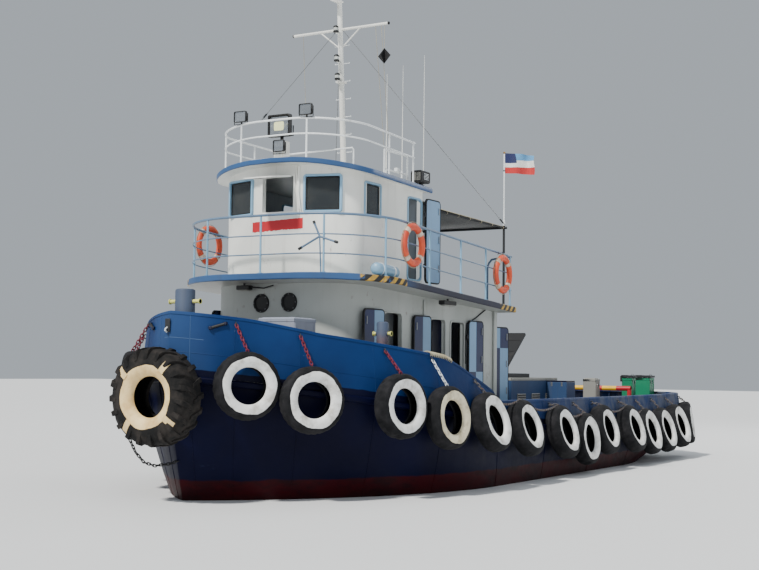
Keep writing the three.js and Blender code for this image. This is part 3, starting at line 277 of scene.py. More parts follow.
def bulwark_material():
    """Blue plating, worn toward the stern, paler at the stem as painted light; its lowest hand's breadth is in the
    hull's navy with its painted shade
    """
    paint = Paint("bulwark_plating_lit_and_shaded")
    x = paint.axis("X")
    base = paint.mix(paint.patches(0.3, 0.7, 0.8, 4, 0.55), BULWARK_BLUE, colour(8, 38, 84))
    # Paler toward the stem: a painted highlight where the sun falls on the bow
    bow = paint.step(x, 7.8, 8.2)
    tone = paint.mix(paint.times(bow, 0.35), base, colour(62, 90, 130))
    aft = paint.rest(paint.step(x, -3.5, 3.6))
    worn = paint.noise(2.6, 8, 0.7, stretch=(1, 1, 0.5), shift=9)
    tone = paint.mix(paint.times(aft, paint.step(worn, 0.38, 0.62)), tone, colour(82, 88, 104))
    scab = paint.noise(7.0, 8, 0.7, shift=13)
    tone = paint.mix(paint.times(aft, paint.step(scab, 0.6, 0.7)), tone, colour(96, 66, 66))
    pale = paint.noise(3.4, 9, 0.75, stretch=(0.6, 0.6, 1.2), shift=31)
    tone = paint.mix(paint.times(paint.step(pale, 0.64, 0.7), 0.35), tone, colour(120, 146, 186))
    # The lowest band takes the hull's navy, with the same painted shade as the hull
    run = paint.plus(x, 4.0)
    level = paint.plus(paint.times(paint.times(run, run), 0.0069), 0.85)
    above = paint.minus(paint.axis("Z"), level)
    above = paint.plus(above, paint.times(paint.noise(3.0, 5, 0.6, shift=50), 0.05))
    tone = paint.mix(paint.step(above, 0.115, 0.13), hull_tone_and_shade(paint), tone)
    paint.grain(0.018, 0.6, 1.6, 2, 0.4, stretch=(1.3, 1, 1))
    paint.grain(0.001, 0.5, 90, 3, 0.5)
    paint.fix("Specular IOR Level", 0.15)
    gloss = paint.plus(paint.times(paint.noise(10, 4), 0.24), 0.42)
    return paint.finish(tone, gloss)


def hazard_material():
    """Deck edge: worn yellow and black bars at two places on each side, blue elsewhere"""
    paint = Paint("deck_edge_bars")
    x = paint.axis("X")
    z = paint.axis("Z")
    blue, _ = weather(paint, FASCIA_BLUE, 0.3, 0.35, 4.0)
    navy, _ = weather(paint, NAVY, 0.3, 0.3, 4.0)
    blue = paint.mix(paint.step(x, 4.2, 5.4), navy, blue)
    slant = paint.plus(x, paint.times(z, 0.9))
    cycle = paint.math("FRACT", paint.times(slant, 5.2))
    bars = paint.step(cycle, 0.47, 0.53)
    bars = paint.times(bars, paint.rest(paint.step(cycle, 0.96, 1.0)))
    yellow = paint.mix(paint.patches(0.35, 0.65, 7, 5), colour(206, 164, 60), colour(150, 118, 52))
    bars = paint.mix(bars, colour(24, 24, 26), yellow)
    side = paint.step(paint.math("ABSOLUTE", paint.axis("Y")), 1.2, 1.22)
    fore = paint.times(paint.step(x, 4.8, 4.82), paint.rest(paint.step(x, 5.66, 5.68)))
    aft = paint.rest(paint.step(x, 1.24, 1.26))
    where = paint.times(side, paint.math("MAXIMUM", fore, aft))
    worn = paint.rest(paint.patches(0.58, 0.64, 11, 6, 0.7))
    tone = paint.mix(paint.times(where, worn), blue, bars)
    paint.grain(0.001, 0.5, 90, 3, 0.5)
    return paint.finish(tone, 0.45, 0.0, 0.1)


def white_material(name, base, shift):
    """House paint with rain streaks that run down from above, and rust weeping at seams"""
    paint = Paint(name)
    tone, _ = weather(paint, base, 0.22, 0.55, shift, colour(120, 112, 98))
    weep = paint.noise(8.0, 5, 0.6, stretch=(1.5, 1.5, 0.05), shift=shift + 17)
    source = paint.noise(1.1, 3, 0.5, shift=shift + 5)
    wept = paint.times(paint.step(weep, 0.66, 0.78), paint.step(source, 0.5, 0.7))
    tone = paint.mix(paint.times(wept, 0.5), tone, colour(150, 104, 66))
    paint.grain(0.010, 0.5, 1.9, 2, 0.4, shift=shift)
    paint.grain(0.0008, 0.5, 110, 3, 0.5)
    gloss = paint.plus(paint.times(paint.noise(12, 3), 0.2), 0.34)
    return paint.finish(tone, gloss, 0.0, 0.1)


def ring_paint(paint, outer):
    """How much of the painted ring shows: the ring attribute is a radius as a share of the ring's own,
    face is 1 on the tyre's outer face"""
    ragged = paint.times(paint.minus(paint.noise(9, 4, 0.6), 0.5), 0.07)
    radius = paint.plus(paint.attribute("ring"), ragged)
    shown = paint.rest(paint.step(radius, outer, outer + 0.012))
    shown = paint.times(shown, paint.step(paint.attribute("face"), 0.45, 0.55))
    flaked = paint.rest(paint.patches(0.66, 0.69, 24, 7, 0.75, shift=4))
    return paint.times(shown, flaked)


def rubber_tone(paint, dark, dusty, scale):
    """Dusty rubber, darkened to near black as painted shade in the tyre's hollow, where the inner attribute is 1
    """
    rubber = paint.mix(paint.patches(0.35, 0.75, scale, 6, 0.65), dark, dusty)
    return paint.mix(paint.step(paint.attribute("inner"), 0.1, 0.9), rubber, colour(4, 4, 6))


def tyre_material():
    paint = Paint("fender_tyre_shaded_hollow")
    ring = ring_paint(paint, 1.0)
    rubber = rubber_tone(paint, colour(7, 8, 12), colour(36, 35, 38), 5)
    white = paint.mix(paint.patches(0.4, 0.75, 6, 6, 0.6, shift=8), colour(238, 238, 236),
                      colour(182, 178, 170))
    cream = paint.mix(paint.patches(0.4, 0.75, 6, 6, 0.6, shift=8), colour(232, 222, 192),
                      colour(170, 156, 126))
    white = paint.mix(paint.attribute("tone"), white, cream)
    tone = paint.mix(ring, rubber, white)
    paint.fix("Specular IOR Level", 0.3)
    paint.grain(0.002, 0.6, 120, 4, 0.6)
    gloss = paint.minus(0.86, paint.times(ring, 0.36))
    return paint.finish(tone, gloss)


def bow_tyre_material():
    paint = Paint("bow_tyre_rubber_shaded_hollow")
    ring = ring_paint(paint, 1.0)
    rubber = rubber_tone(paint, colour(9, 9, 10), colour(48, 43, 40), 5)
    cream = paint.mix(paint.patches(0.35, 0.75, 4, 6, 0.6), colour(242, 214, 158),
                      colour(206, 170, 112))
    tone = paint.mix(ring, rubber, cream)
    paint.fix("Specular IOR Level", 0.3)
    paint.grain(0.003, 0.7, 70, 5, 0.6)
    return paint.finish(tone, paint.minus(0.85, paint.times(ring, 0.3)))


def glass_material():
    paint = Paint("window_glass")
    grime = paint.noise(3, 5, 0.6)
    tone = paint.mix(paint.step(grime, 0.4, 0.8), colour(72, 78, 82), colour(96, 98, 96))
    paint.fix("Transmission Weight", 0.62)
    paint.fix("IOR", 1.45)
    return paint.finish(tone, 0.06)


def metal_material(name, base, rough=0.4, metallic=0.9, rust=0.3, shift=0.0):
    paint = Paint(name)
    tone, spots = weather(paint, base, 0.15, rust, shift)
    worn = paint.minus(metallic, paint.times(spots, metallic * 0.8))
    paint.grain(0.0008, 0.5, 60, 4, 0.6)
    gloss = paint.plus(paint.times(paint.noise(14, 4), 0.25), rough - 0.1)
    return paint.finish(tone, gloss, worn)


def chain_material(name, base):
    paint = Paint(name)
    tone = paint.mix(paint.patches(0.5, 0.7, 16, 6, 0.7), base, RUST)
    tone = paint.mix(paint.patches(0.58, 0.7, 28, 6, 0.7, shift=5), tone, RUST_DARK)
    paint.grain(0.001, 0.7, 90, 4, 0.6)
    return paint.finish(tone, 0.72, 0.15)


def cloth_material(name, base, other, weave=900.0):
    """Woven cloth: crossed threads in bump, faded in patches, with a soft sheen"""
    paint = Paint(name)
    tone = paint.mix(paint.patches(0.3, 0.7, 3, 5, 0.6), base, other)
    warp = paint.wave(paint.times(paint.axis("X"), weave))
    weft = paint.wave(paint.times(paint.axis("Y"), weave))
    paint.bump(paint.times(warp, weft), 0.0006, 0.6)
    paint.grain(0.004, 0.5, 6, 4, 0.5)
    paint.fix("Sheen Weight", 0.3)
    return paint.finish(tone, 0.85)


def flag_material():
    """Three level bands with a dark corner square, a design of no real flag"""
    paint = Paint("flag_bands")
    z = paint.axis("Z")
    x = paint.axis("X")
    low = paint.step(z, 5.878, 5.881)
    high = paint.step(z, 6.008, 6.011)
    tone = paint.mix(low, colour(196, 44, 44), colour(232, 230, 226))
    tone = paint.mix(high, tone, colour(92, 154, 200))
    corner = paint.times(paint.step(x, 0.598, 0.6), paint.step(z, 5.958, 5.961))
    tone = paint.mix(corner, tone, colour(28, 38, 88))
    tone = paint.mix(paint.times(paint.patches(0.4, 0.8, 5, 5), 0.25), tone, GRIME)
    warp = paint.wave(paint.times(x, 1400.0))
    weft = paint.wave(paint.times(z, 1400.0))
    paint.bump(paint.times(warp, weft), 0.0004, 0.5)
    paint.fix("Sheen Weight", 0.3)
    return paint.finish(tone, 0.85)


def lifebuoy_material():
    """Orange skin with four pale bands by angle, told by the band attribute"""
    paint = Paint("lifebuoy_skin")
    band = paint.attribute("band")
    orange = paint.mix(paint.patches(0.35, 0.7, 4, 5, 0.6), colour(226, 88, 48), colour(196, 66, 40))
    orange = paint.mix(paint.patches(0.62, 0.68, 14, 7, 0.7), orange, colour(110, 62, 48))
    pale = paint.mix(paint.patches(0.4, 0.7, 9, 5), colour(226, 206, 190), colour(170, 140, 122))
    tone = paint.mix(paint.step(band, 0.45, 0.55), orange, pale)
    paint.grain(0.001, 0.6, 80, 4, 0.6)
    return paint.finish(tone, 0.55)


def glow_material():
    """Lamp element: pale yellow diodes in a grid behind the glass"""
    paint = Paint("lamp_element")
    row = paint.wave(paint.times(paint.axis("Z"), 260.0))
    line = paint.wave(paint.times(paint.axis("Y"), 260.0))
    dots = paint.step(paint.times(row, line), 0.05, 0.3)
    tone = paint.mix(dots, colour(206, 208, 150), colour(246, 246, 196))
    paint.put(tone, paint.shader.inputs["Emission Color"])
    paint.fix("Emission Strength", 0.35)
    return paint.finish(tone, 0.3)


def post_material():
    """Blue-grey steel, rusted toward the deck"""
    paint = Paint("post_steel")
    tone, _ = weather(paint, colour(62, 74, 96), 0.3, 0.6, 70.0)
    z = paint.plus(paint.axis("Z"), paint.times(paint.noise(4, 5, 0.6), 0.4))
    low = paint.rest(paint.step(z, 2.5, 2.85))
    rust = paint.mix(paint.patches(0.35, 0.65, 12, 6, 0.65), colour(92, 60, 56), colour(58, 40, 44))
    tone = paint.mix(paint.times(low, 0.8), tone, rust)
    paint.grain(0.0012, 0.6, 60, 4, 0.6)
    return paint.finish(tone, 0.65)


# Plain paints. Columns: key, name, colour, roughness, dirt, rust, depth of dents, shift of the noise, coat
PAINTS = (
    ("deck", "deck_paint", colour(92, 70, 62), 0.75, 0.5, 0.8, 0.004, 40, 0),
    ("boat_deck", "boat_deck_paint", colour(126, 142, 146), 0.7, 0.5, 0.5, 0.003, 43, 0),
    ("roof_edge", "roof_edge_paint", FASCIA_BLUE, 0.4, 0.25, 0.3, 0, 46, 0.1),
    ("inside", "cabin_lining", colour(168, 174, 180), 0.6, 0.3, 0.1, 0, 50, 0),
    ("navy", "navy_trim", NAVY, 0.35, 0.25, 0.4, 0, 52, 0.15),
    ("blue", "light_blue_trim", LIGHT_BLUE, 0.38, 0.2, 0.35, 0, 54, 0.1),
    ("rail_white", "rail_white", colour(232, 236, 238), 0.4, 0.3, 0.6, 0, 56, 0.1),
    ("grey", "grey_paint", colour(150, 150, 144), 0.5, 0.3, 0.5, 0.002, 58, 0),
    ("casing", "casing_paint", colour(44, 72, 112), 0.5, 0.35, 0.6, 0.003, 60, 0),
    ("green", "green_paint", colour(22, 128, 92), 0.42, 0.25, 0.35, 0.002, 62, 0.1),
    ("red", "red_paint", colour(190, 34, 44), 0.45, 0.2, 0.1, 0, 64, 0),
    ("yellow", "yellow_paint", colour(226, 178, 34), 0.45, 0.3, 0.5, 0, 66, 0),
    ("dark", "dark_steel", colour(32, 34, 38), 0.55, 0.3, 0.9, 0, 68, 0),
    ("rusty", "rusty_steel", colour(58, 64, 84), 0.7, 0.4, 1.0, 0, 70, 0),
    ("rubber", "black_rubber", colour(18, 18, 20), 0.7, 0.35, 0.0, 0, 72, 0),
    ("black", "black_plastic", colour(14, 14, 16), 0.5, 0.2, 0.0, 0, 74, 0),
    ("door_light", "door_panel_light", colour(126, 162, 196), 0.4, 0.2, 0.3, 0, 6, 0.1),
    ("door_dark", "door_panel_dark", colour(12, 28, 76), 0.4, 0.15, 0.2, 0, 8, 0.1),
    ("rail_slate", "rail_slate", colour(92, 118, 146), 0.4, 0.3, 0.5, 0, 88, 0.1),
    ("pale_yellow", "bar_paint", colour(216, 214, 120), 0.5, 0.25, 0.5, 0, 84, 0),
    ("lavender", "box_paint", colour(150, 156, 172), 0.5, 0.3, 0.4, 0.002, 86, 0),
    ("cream", "cream_strap", colour(236, 206, 148), 0.6, 0.35, 0.3, 0, 76, 0),
    ("lens", "lamp_lens", colour(196, 200, 196), 0.12, 0.2, 0.0, 0, 90, 0.3),
    ("seam", "weld_seam", colour(64, 96, 138), 0.6, 0.3, 0.5, 0, 90, 0),
    ("lining", "passage_lining", colour(190, 196, 200), 0.5, 0.2, 0.1, 0, 92, 0),
)
M = {
    "hull": hull_material(),
    "bulwark": bulwark_material(),
    "hazard": hazard_material(),
    # Deckhouse white, greyed as painted shade of the boat deck's overhang; the wheelhouse white is the same paint
    # in light
    "white": white_material("house_paint_shaded", colour(174, 178, 174), 0.0),
    "upper_white": white_material("wheelhouse_paint", WHITE, 21.0),
    "post": post_material(),
    "tyre": tyre_material(),
    "bow_tyre": bow_tyre_material(),
    "glass": glass_material(),
    "steel": metal_material("bare_steel", colour(150, 152, 154), 0.4, 0.85, 0.3),
    "bronze": metal_material("propeller_bronze", colour(176, 132, 70), 0.35, 0.95, 0.0, 3.0),
    "chain": chain_material("chain_grey", colour(96, 92, 92)),
    "red_chain": chain_material("chain_red", colour(120, 30, 52)),
    "tarp": cloth_material("awning_tarp", colour(28, 32, 34), colour(48, 54, 52)),
    "flag": flag_material(),
    "lifebuoy": lifebuoy_material(),
    "rope": cloth_material("rope_fibre", colour(186, 178, 150), colour(140, 128, 100), 260.0),
    "glow": glow_material(),
    "reflector": metal_material("lamp_reflector", colour(196, 200, 204), 0.16, 0.9, 0.0, 9.0),
}
for key, *looks in PAINTS:
    M[key] = painted(*looks)


class Shape:
    """Collects vertices and faces, with a material for each face, and makes one piece of them"""

    def __init__(self):
        self.verts = []
        self.faces = []
        self.paints = []
        self.used = []
        self.values = {}

    def number(self, name):
        if name not in self.used:
            self.used.append(name)
        return self.used.index(name)

    def add(self, verts, faces, paint, place=None, values=None):
        base = len(self.verts)
        for key, numbers in (values or {}).items():
            store = self.values.setdefault(key, {})
            for index, value in enumerate(numbers):
                store[base + index] = value
        for vert in verts:
            self.verts.append(place @ Vector(vert) if place else Vector(vert))
        number = self.number(paint)
        for face in faces:
            self.faces.append([base + index for index in face])
            self.paints.append(number)

    def rings(self, rings, paint, closed=True, caps=True, loop=False, place=None, values=None):
        """A skin over rings of equally many points"""
        count = len(rings[0])
        verts = [point for ring in rings for point in ring]
        faces = []
        rows = len(rings) if loop else len(rings) - 1
        for row in range(rows):
            ahead = (row + 1) % len(rings)
            for i in range(count if closed else count - 1):
                j = (i + 1) % count
                faces.append((row * count + i, row * count + j, ahead * count + j, ahead * count + i))
        if caps and not loop:
            faces.append(tuple(range(count)))
            last = (len(rings) - 1) * count
            faces.append(tuple(last + i for i in reversed(range(count))))
        self.add(verts, faces, paint, place, values)

    def box(self, size, at, paint, turn=0.0, edge=0.006, place=None):
        """A box with chamfered edges, turned about its upright axis"""
        half = [s / 2 for s in size]
        edge = min(edge, min(half) * 0.45)
        verts = []
        index = {}
        corners = [(a, b, c) for a in (-1, 1) for b in (-1, 1) for c in (-1, 1)]
        for signs in corners:
            for axis in range(3):
                index[signs, axis] = len(verts)
                verts.append([signs[k] * (half[k] - (0 if k == axis else edge)) for k in range(3)])
        faces = []
        for axis in range(3):
            others = [k for k in range(3) if k != axis]
            for sign in (-1, 1):
                loop = []
                for a, b in ((-1, -1), (1, -1), (1, 1), (-1, 1)):
                    signs = [0, 0, 0]
                    signs[axis], signs[others[0]], signs[others[1]] = sign, a, b
                    loop.append(index[tuple(signs), axis])
                faces.append(loop)
            for a in (-1, 1):
                for b in (-1, 1):
                    loop = []
                    for c, which in ((-1, 0), (1, 0), (1, 1), (-1, 1)):
                        signs = [0, 0, 0]
                        signs[axis], signs[others[0]], signs[others[1]] = c, a, b
                        loop.append(index[tuple(signs), others[which]])
                    faces.append(loop)
        for signs in corners:
            faces.append([index[signs, axis] for axis in range(3)])
        matrix = moved(at) @ turned(turn, "Z")
        self.add(verts, faces, paint, place @ matrix if place else matrix)

    def post(self, x, y, low, high, radius, paint, sides=10, end_radius=None, place=None):
        """An upright round bar"""
        self.pipe([(x, y, low), (x, y, high)], radius, paint, sides, end_radius=end_radius, place=place)

    def pipe(self, points, radius, paint, sides=10, closed=False, end_radius=None, place=None):
        """A round bar along a path, mitred at its corners"""
        points = [Vector(p) for p in points]
        count = len(points)
        rings = []
        side = None
        for i, point in enumerate(points):
            before = points[i - 1] if i or closed else point
            after = points[(i + 1) % count] if i < count - 1 or closed else point
            along = ((point - before).normalized() + (after - point).normalized()).normalized()
            if side is None:
                side = along.orthogonal().normalized()
                if abs(along.z) < 0.9:
                    side = along.cross(Vector((0, 0, 1))).normalized()
            side = (side - along * side.dot(along)).normalized()
            other = along.cross(side)
            share = i / max(count - 1, 1)
            r = radius if end_radius is None else radius + (end_radius - radius) * share
            rings.append([
                point + side * (r * cos(2 * pi * k / sides)) + other * (r * sin(2 * pi * k / sides))
                for k in range(sides)
            ])
        self.rings(rings, paint, caps=not closed, loop=closed, place=place)

    def lathe(self, profile, segments, paint, place, values=None, spin=None):
        """A profile of (radius, height) turned about the local Z axis. values: for each attribute its
        number at (row of the profile, radius, angle). spin: radius in place of r at (r, height, segment)"""
        rings = []
        numbers = {key: [] for key in (values or {})}
        for i in range(segments):
            angle = 2 * pi * i / segments
            ring = []
            for k, (r, a) in enumerate(profile):
                reach = spin(r, a, i) if spin else r
                ring.append((reach * cos(angle), reach * sin(angle), a))
                for key in numbers:
                    numbers[key].append(values[key](k, r, angle))
            rings.append(ring)
        self.rings(rings, paint, caps=False, loop=True, place=place, values=numbers)

    def piece(self, name, body=BOAT, replaces=(), angle=38.0, sheet=False):
        mesh = bpy.data.meshes.new(name)
        mesh.from_pydata([tuple(v) for v in self.verts], [], self.faces)
        for paint in self.used:
            mesh.materials.append(M[paint])
        mesh.polygons.foreach_set("material_index", self.paints)
        for key, store in self.values.items():
            attribute = mesh.attributes.new(key, "FLOAT", "POINT")
            attribute.data.foreach_set("value", [store.get(i, 0.0) for i in range(len(self.verts))])
        work = bmesh.new()
        work.from_mesh(mesh)
        if not sheet:
            bmesh.ops.remove_doubles(work, verts=work.verts, dist=1e-5)
            bmesh.ops.dissolve_degenerate(work, edges=work.edges, dist=1e-6)
        bmesh.ops.recalc_face_normals(work, faces=work.faces)
        work.to_mesh(mesh)
        work.free()
        mesh.shade_smooth()
        mesh.set_sharp_from_angle(angle=radians(angle))
        thing = bpy.data.objects.new(name, mesh)
        bpy.context.scene.collection.objects.link(thing)
        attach(thing, body)
        if replaces:
            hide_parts(*replaces)
        return thing


def lerp(first, last, share):
    return first + (last - first) * share


def eased(values, place):
    """A smooth value between evenly spaced ones, without overshoot"""
    i = min(int(place), len(values) - 2)
    share = place - i
    steps = [values[k + 1] - values[k] for k in range(len(values) - 1)]

    def slope(k):
        if k == 0 or k == len(values) - 1:
            return steps[min(k, len(steps) - 1)]
        before, after = steps[k - 1], steps[k]
        return 2 * before * after / (before + after) if before * after > 0 else 0.0
    low, high = slope(i), slope(i + 1)
    s2, s3 = share * share, share ** 3
    return ((2 * s3 - 3 * s2 + 1) * values[i] + (s3 - 2 * s2 + share) * low
            + (3 * s2 - 2 * s3) * values[i + 1] + (s3 - s2) * high)


# Hull form, from the keel up. Columns: height, or None where it is a share of the deck's height, that
# share, stem, stern, half breadth, bow and run lengths, bow and run fullness
LEVELS = (
    (-2.10, 0, 6.65, -5.40, 0.11, 0.9, 0.7, 0.6, 0.6),
    (-1.86, 0, 6.90, -5.45, 0.26, 2.5, 4.5, 0.8, 0.9),
    (-1.54, 0, 7.15, -5.52, 1.75, 6.2, 7.5, 1.1, 1.6),
    (-1.05, 0, 7.40, -5.62, 2.43, 5.8, 6.9, 1.05, 1.3),
    (-0.74, 0, 7.53, -5.76, 2.59, 5.6, 6.2, 1.0, 1.1),
    (-0.60, 0, 7.59, -7.48, 2.64, 5.5, 6.4, 1.0, 0.9),
    (0.0, 0, 7.83, -8.15, 2.73, 5.1, 4.8, 0.9, 0.62),
    (None, 0.5, 8.06, -8.60, 2.78, 4.7, 2.2, 0.84, 0.55),
    (None, 1, 8.25, -8.85, 2.80, 4.3, 1.5, 0.8, 0.5),
)
DECK = LEVELS[-1]
STATION = 1 / 24
SHAFT_Z = -1.4
SCREW_AT = (-6.2, 0, SHAFT_Z)
RUDDER_X = -6.95


def deck_z(x):
    """Height of the deck, which rises toward the stem and the stern"""
    return 0.85 + 0.0069 * (x + 4) ** 2


def half_breadth(level, x):
    """Half the hull's breadth on a level, rounded in toward the stem and the stern"""
    stem, stern, half, bow, run, bow_full, run_full = level[2:]
    from_stem = min(max(stem - x, 0) / bow, 1)
    from_stern = min(max(x - stern, 0) / run, 1)
    return half * (1 - (1 - from_stem) ** 2) ** bow_full * (1 - (1 - from_stern) ** 2) ** run_full


def hull_point(level, t, side):
    """A point of a level; t runs from 0 at the stem to 1 at the stern, and past either end comes back"""
    if t < 0:
        t, side = -t, -side
    if t > 1:
        t, side = 2 - t, -side
    x = lerp(level[2], level[3], (1 - cos(pi * t)) / 2)
    z = level[0] if level[0] is not None else level[1] * deck_z(x)
    return Vector((x, side * half_breadth(level, x), z))


def station_of(x):
    """The station at which the deck edge has this x"""
    share = (DECK[2] - x) / (DECK[2] - DECK[3])
    return acos(1 - 2 * share) / pi


def eased_hull(t, side, place):
    """A point of the skin between levels"""
    return Vector([eased([hull_point(level, t, side)[k] for level in LEVELS], place) for k in range(3)])


def edge_frame(t, side):
    """A point of the deck edge, the way aft along it and the way inboard"""
    here = hull_point(DECK, t, side)
    along = hull_point(DECK, t + STATION, side) - hull_point(DECK, t - STATION, side)
    along = Vector((along.x, along.y, 0)).normalized()
    return here, along, Vector((-along.y, along.x, 0)) * side


def beside(here, inboard, inward, z):
    """A point at a height, inward of the deck edge"""
    return Vector((here.x, here.y, 0)) + inboard * inward + Vector((0, 0, z))


def around(count, first=0.0, last=1.0):
    """Evenly spaced numbers, both ends included"""
    return [lerp(first, last, i / count) for i in range(count + 1)]


def build_hull():
    shape = Shape()
    count, steps = 84, 4
    stations = [(t, PORT) for t in around(count)] + [(t, STARBOARD) for t in reversed(around(count)[1:-1])]
    rows = [[eased_hull(t, side, step / steps) for t, side in stations]
            for step in range((len(LEVELS) - 1) * steps + 1)]
    shape.rings(rows, "hull", caps=False)
    for row, paint in ((rows[0], "hull"), (rows[-1], "deck")):
        port = row[:count + 1]
        starboard = [row[0]] + [row[-i] for i in range(1, count)] + [row[count]]
        shape.rings([port, starboard], paint, closed=False, caps=False)
    # Sole piece under the propeller, stern tube with its bearing ring, and the rudder's two bearings
    shape.box((2.15, 0.15, 0.11), (-6.32, 0, -2.045), "hull", edge=0.02)
    shape.pipe([(-4.7, 0, SHAFT_Z), (-5.96, 0, SHAFT_Z)], 0.15, "hull", 32, end_radius=0.11)
    shape.pipe([(-5.955, 0, SHAFT_Z), (-5.985, 0, SHAFT_Z)], 0.1, "bronze", 32)
    shape.post(RUDDER_X, 0, -0.69, -0.4, 0.095, "hull", 32)
    shape.post(RUDDER_X, 0, -2.0, -1.9, 0.038, "hull", 20)
    shape.piece("hull_plating_with_shade", replaces=["hull"], angle=50)
    anodes = Shape()
    for side in BOTH:
        for x in (-4.9, -2.5, 0.4, 3.4):
            y = side * (half_breadth(LEVELS[3], x) - 0.02)
            anodes.box((0.32, 0.06, 0.09), (x, y, -1.05), "steel", edge=0.015)
    anodes.piece("hull_anodes")


build_hull()

# Thickness of the bulwark's cap rail
CAP = 0.045
# Stations of the upright plate seams on each side
SEAMS = (0.055, 0.11, 0.17, 0.235, 0.3, 0.38, 0.46, 0.55, 0.64, 0.73, 0.82, 0.9, 0.96)


def ramp(x, low, high):
    """0 below low, 1 above high, straight between"""
    return min(max((x - low) / (high - low), 0), 1)


def lean_at(x):
    """Inboard slope of the bulwark, less toward the stem"""
    return lerp(0.17, 0.04, ramp(x, 6.0, 8.0))


def rail_z(x):
    """Height of the bulwark's top"""
    if x >= 4.48:
        return deck_z(x) + 0.865 + 0.07 * ramp(x, 6.8, 7.6)
    if x <= 2.75:
        return 1.47 + 0.0016 * max(-3 - x, 0) ** 2
    return lerp(1.60, deck_z(4.48) + 0.865, ((x - 2.75) / 1.73) ** 0.9)


def bulwark_at(t, side, height, inward=0.0):
    """A point on the bulwark's outer face at a height, or further inboard"""
    here, _, inboard = edge_frame(t, side)
    point = here + inboard * (lean_at(here.x) * (height - here.z) + inward)
    point.z = height
    return point


def bulwark_ring(t, side):
    """Section of the bulwark plating and its cap rail"""
    here, _, inboard = edge_frame(t, side)
    top = rail_z(here.x)
    base = here.z + 0.0003
    lean = lean_at(here.x)
    edge = lean * (top - here.z)
    cap_z = top - CAP
    under = lean * (cap_z - here.z)
    profile = [
        (edge - 0.006, top - 0.008), (edge + 0.004, top), (edge + 0.104, top), (edge + 0.112, top - 0.01),
        (edge + 0.112, top - 0.035), (edge + 0.1, cap_z), (under + 0.02, cap_z), (0.016, base), (0, base),
        (under, cap_z), (under - 0.008, cap_z),
    ]
    return [beside(here, inboard, inward, z) for inward, z in profile]


def build_bulwark():
    # Columns: name, first and last station in 24ths on the port side, count of steps
    sections = (
        ("bow", PORT, 8, -8, 72), ("stern", PORT, 19, 29, 56),
        ("port", PORT, 8, 19, 60), ("starboard", STARBOARD, 8, 19, 60),
    )
    for name, side, first, last, count in sections:
        shape = Shape()
        rings = [bulwark_ring(t, side) for t in around(count, first * STATION, last * STATION)]
        shape.rings(rings, "bulwark")
        for t in around(round(abs(last - first) * 1.6), first * STATION, last * STATION)[1:-1]:
            here, along, inboard = edge_frame(t, side)
            top = rail_z(here.x) - CAP - 0.002
            lean = lean_at(here.x) * (top - here.z)
            outline = [(0.018, here.z), (0.25, here.z), (0.25, here.z + 0.05), (lean + 0.085, top - 0.03),
                       (lean + 0.085, top), (lean + 0.02, top)]
            shape.rings([[beside(here, inboard, a, z) + along * shift for a, z in outline]
                         for shift in (-0.006, 0.006)], "bulwark")
        shape.piece(f"bulwark_{name}_plating", replaces=[f"bulwark_{name}"], angle=30)
    seams = Shape()
    for side in BOTH:
        for t in SEAMS:
            x = hull_point(DECK, t, side).x
            low, high = deck_z(x) + 0.004, rail_z(x) - CAP
            points = [bulwark_at(t, side, lerp(low, high, k / 6), 0.002) for k in range(7)]
            seams.pipe(points, 0.0065, "bulwark", 6)
            rows = [eased_hull(t, side, place) for place in (6.0, 6.4, 6.8, 7.2, 7.6, 7.9)]
            seams.pipe(rows, 0.0065, "hull", 6)
        points = []
        for t in around(60, 0.0, 0.31):
            x = hull_point(DECK, t, side).x
            points.append(bulwark_at(t, side, lerp(deck_z(x), rail_z(x), 0.36), 0.002))
        seams.pipe(points, 0.006, "bulwark", 6)
    seams.piece("plate_seams")


build_bulwark()


# Houses in plan. Columns: front, aft, half width aft and forward, corner length and width
DECKHOUSE = (5.57, 0.64, 1.74, 1.50, 0.70, 1.00)
BOAT_DECK = (6.08, 0.56, 2.10, 2.10, 1.20, 1.50)
WHEELHOUSE = (5.50, 2.95, 1.35, 1.35, 0.55, 1.00)
ROOF = (5.76, 2.85, 1.50, 1.56, 0.80, 1.15)
WALL_THICKNESS = 0.06


def inset(plan, by):
    """A plan drawn in on all sides"""
    front, aft, half_aft, half_fore, corner_x, corner_y = plan
    return (front - by, aft + by, half_aft - by, half_fore - by, corner_x - 0.7 * by, corner_y - 0.7 * by)


def half_width(plan, x):
    """Half the width of a house at x"""
    front, aft, half_aft, half_fore, corner_x, corner_y = plan
    start = front - corner_x
    if x <= start:
        return lerp(half_aft, half_fore, (x - aft) / (start - aft))
    into = min((x - start) / corner_x, 1)
    return half_fore - corner_y + corner_y * sqrt(1 - into * into)


def front_x(plan, y):
    """Where a house's front stands at y"""
    front, _, _, half_fore, corner_x, corner_y = plan
    into = max(abs(y) - (half_fore - corner_y), 0) / corner_y
    return front - corner_x + corner_x * sqrt(max(1 - into * into, 0))


def half_plan(plan, steps=18):
    """Port half of a plan, from the middle of the front round to the middle of the aft end"""
    front, aft, half_aft, half_fore, corner_x, corner_y = plan
    points = [(front, 0.0)]
    for i in range(steps + 1):
        angle = pi / 2 * i / steps
        points.append((front - corner_x + corner_x * cos(angle),
                       half_fore - corner_y + corner_y * sin(angle)))
    return points + [(aft, half_aft), (aft, 0.0)]


def mirrored(half):
    """The starboard points of a plan's port half, from aft forward"""
    return [(x, -y) for x, y in reversed(half[1:-1])]


def whole_plan(plan):
    half = half_plan(plan)
    return half + mirrored(half)


def boat_top(x, y=0.0):
    return 3.17 + 0.058 * x


def boat_under(x, y=0.0):
    return boat_top(x) - 0.11


def roof_top(x, y):
    return 5.46 + 0.029 * (x - 5.76) - 0.069 * y * y


def roof_under(x, y):
    return roof_top(x, y) - 0.09


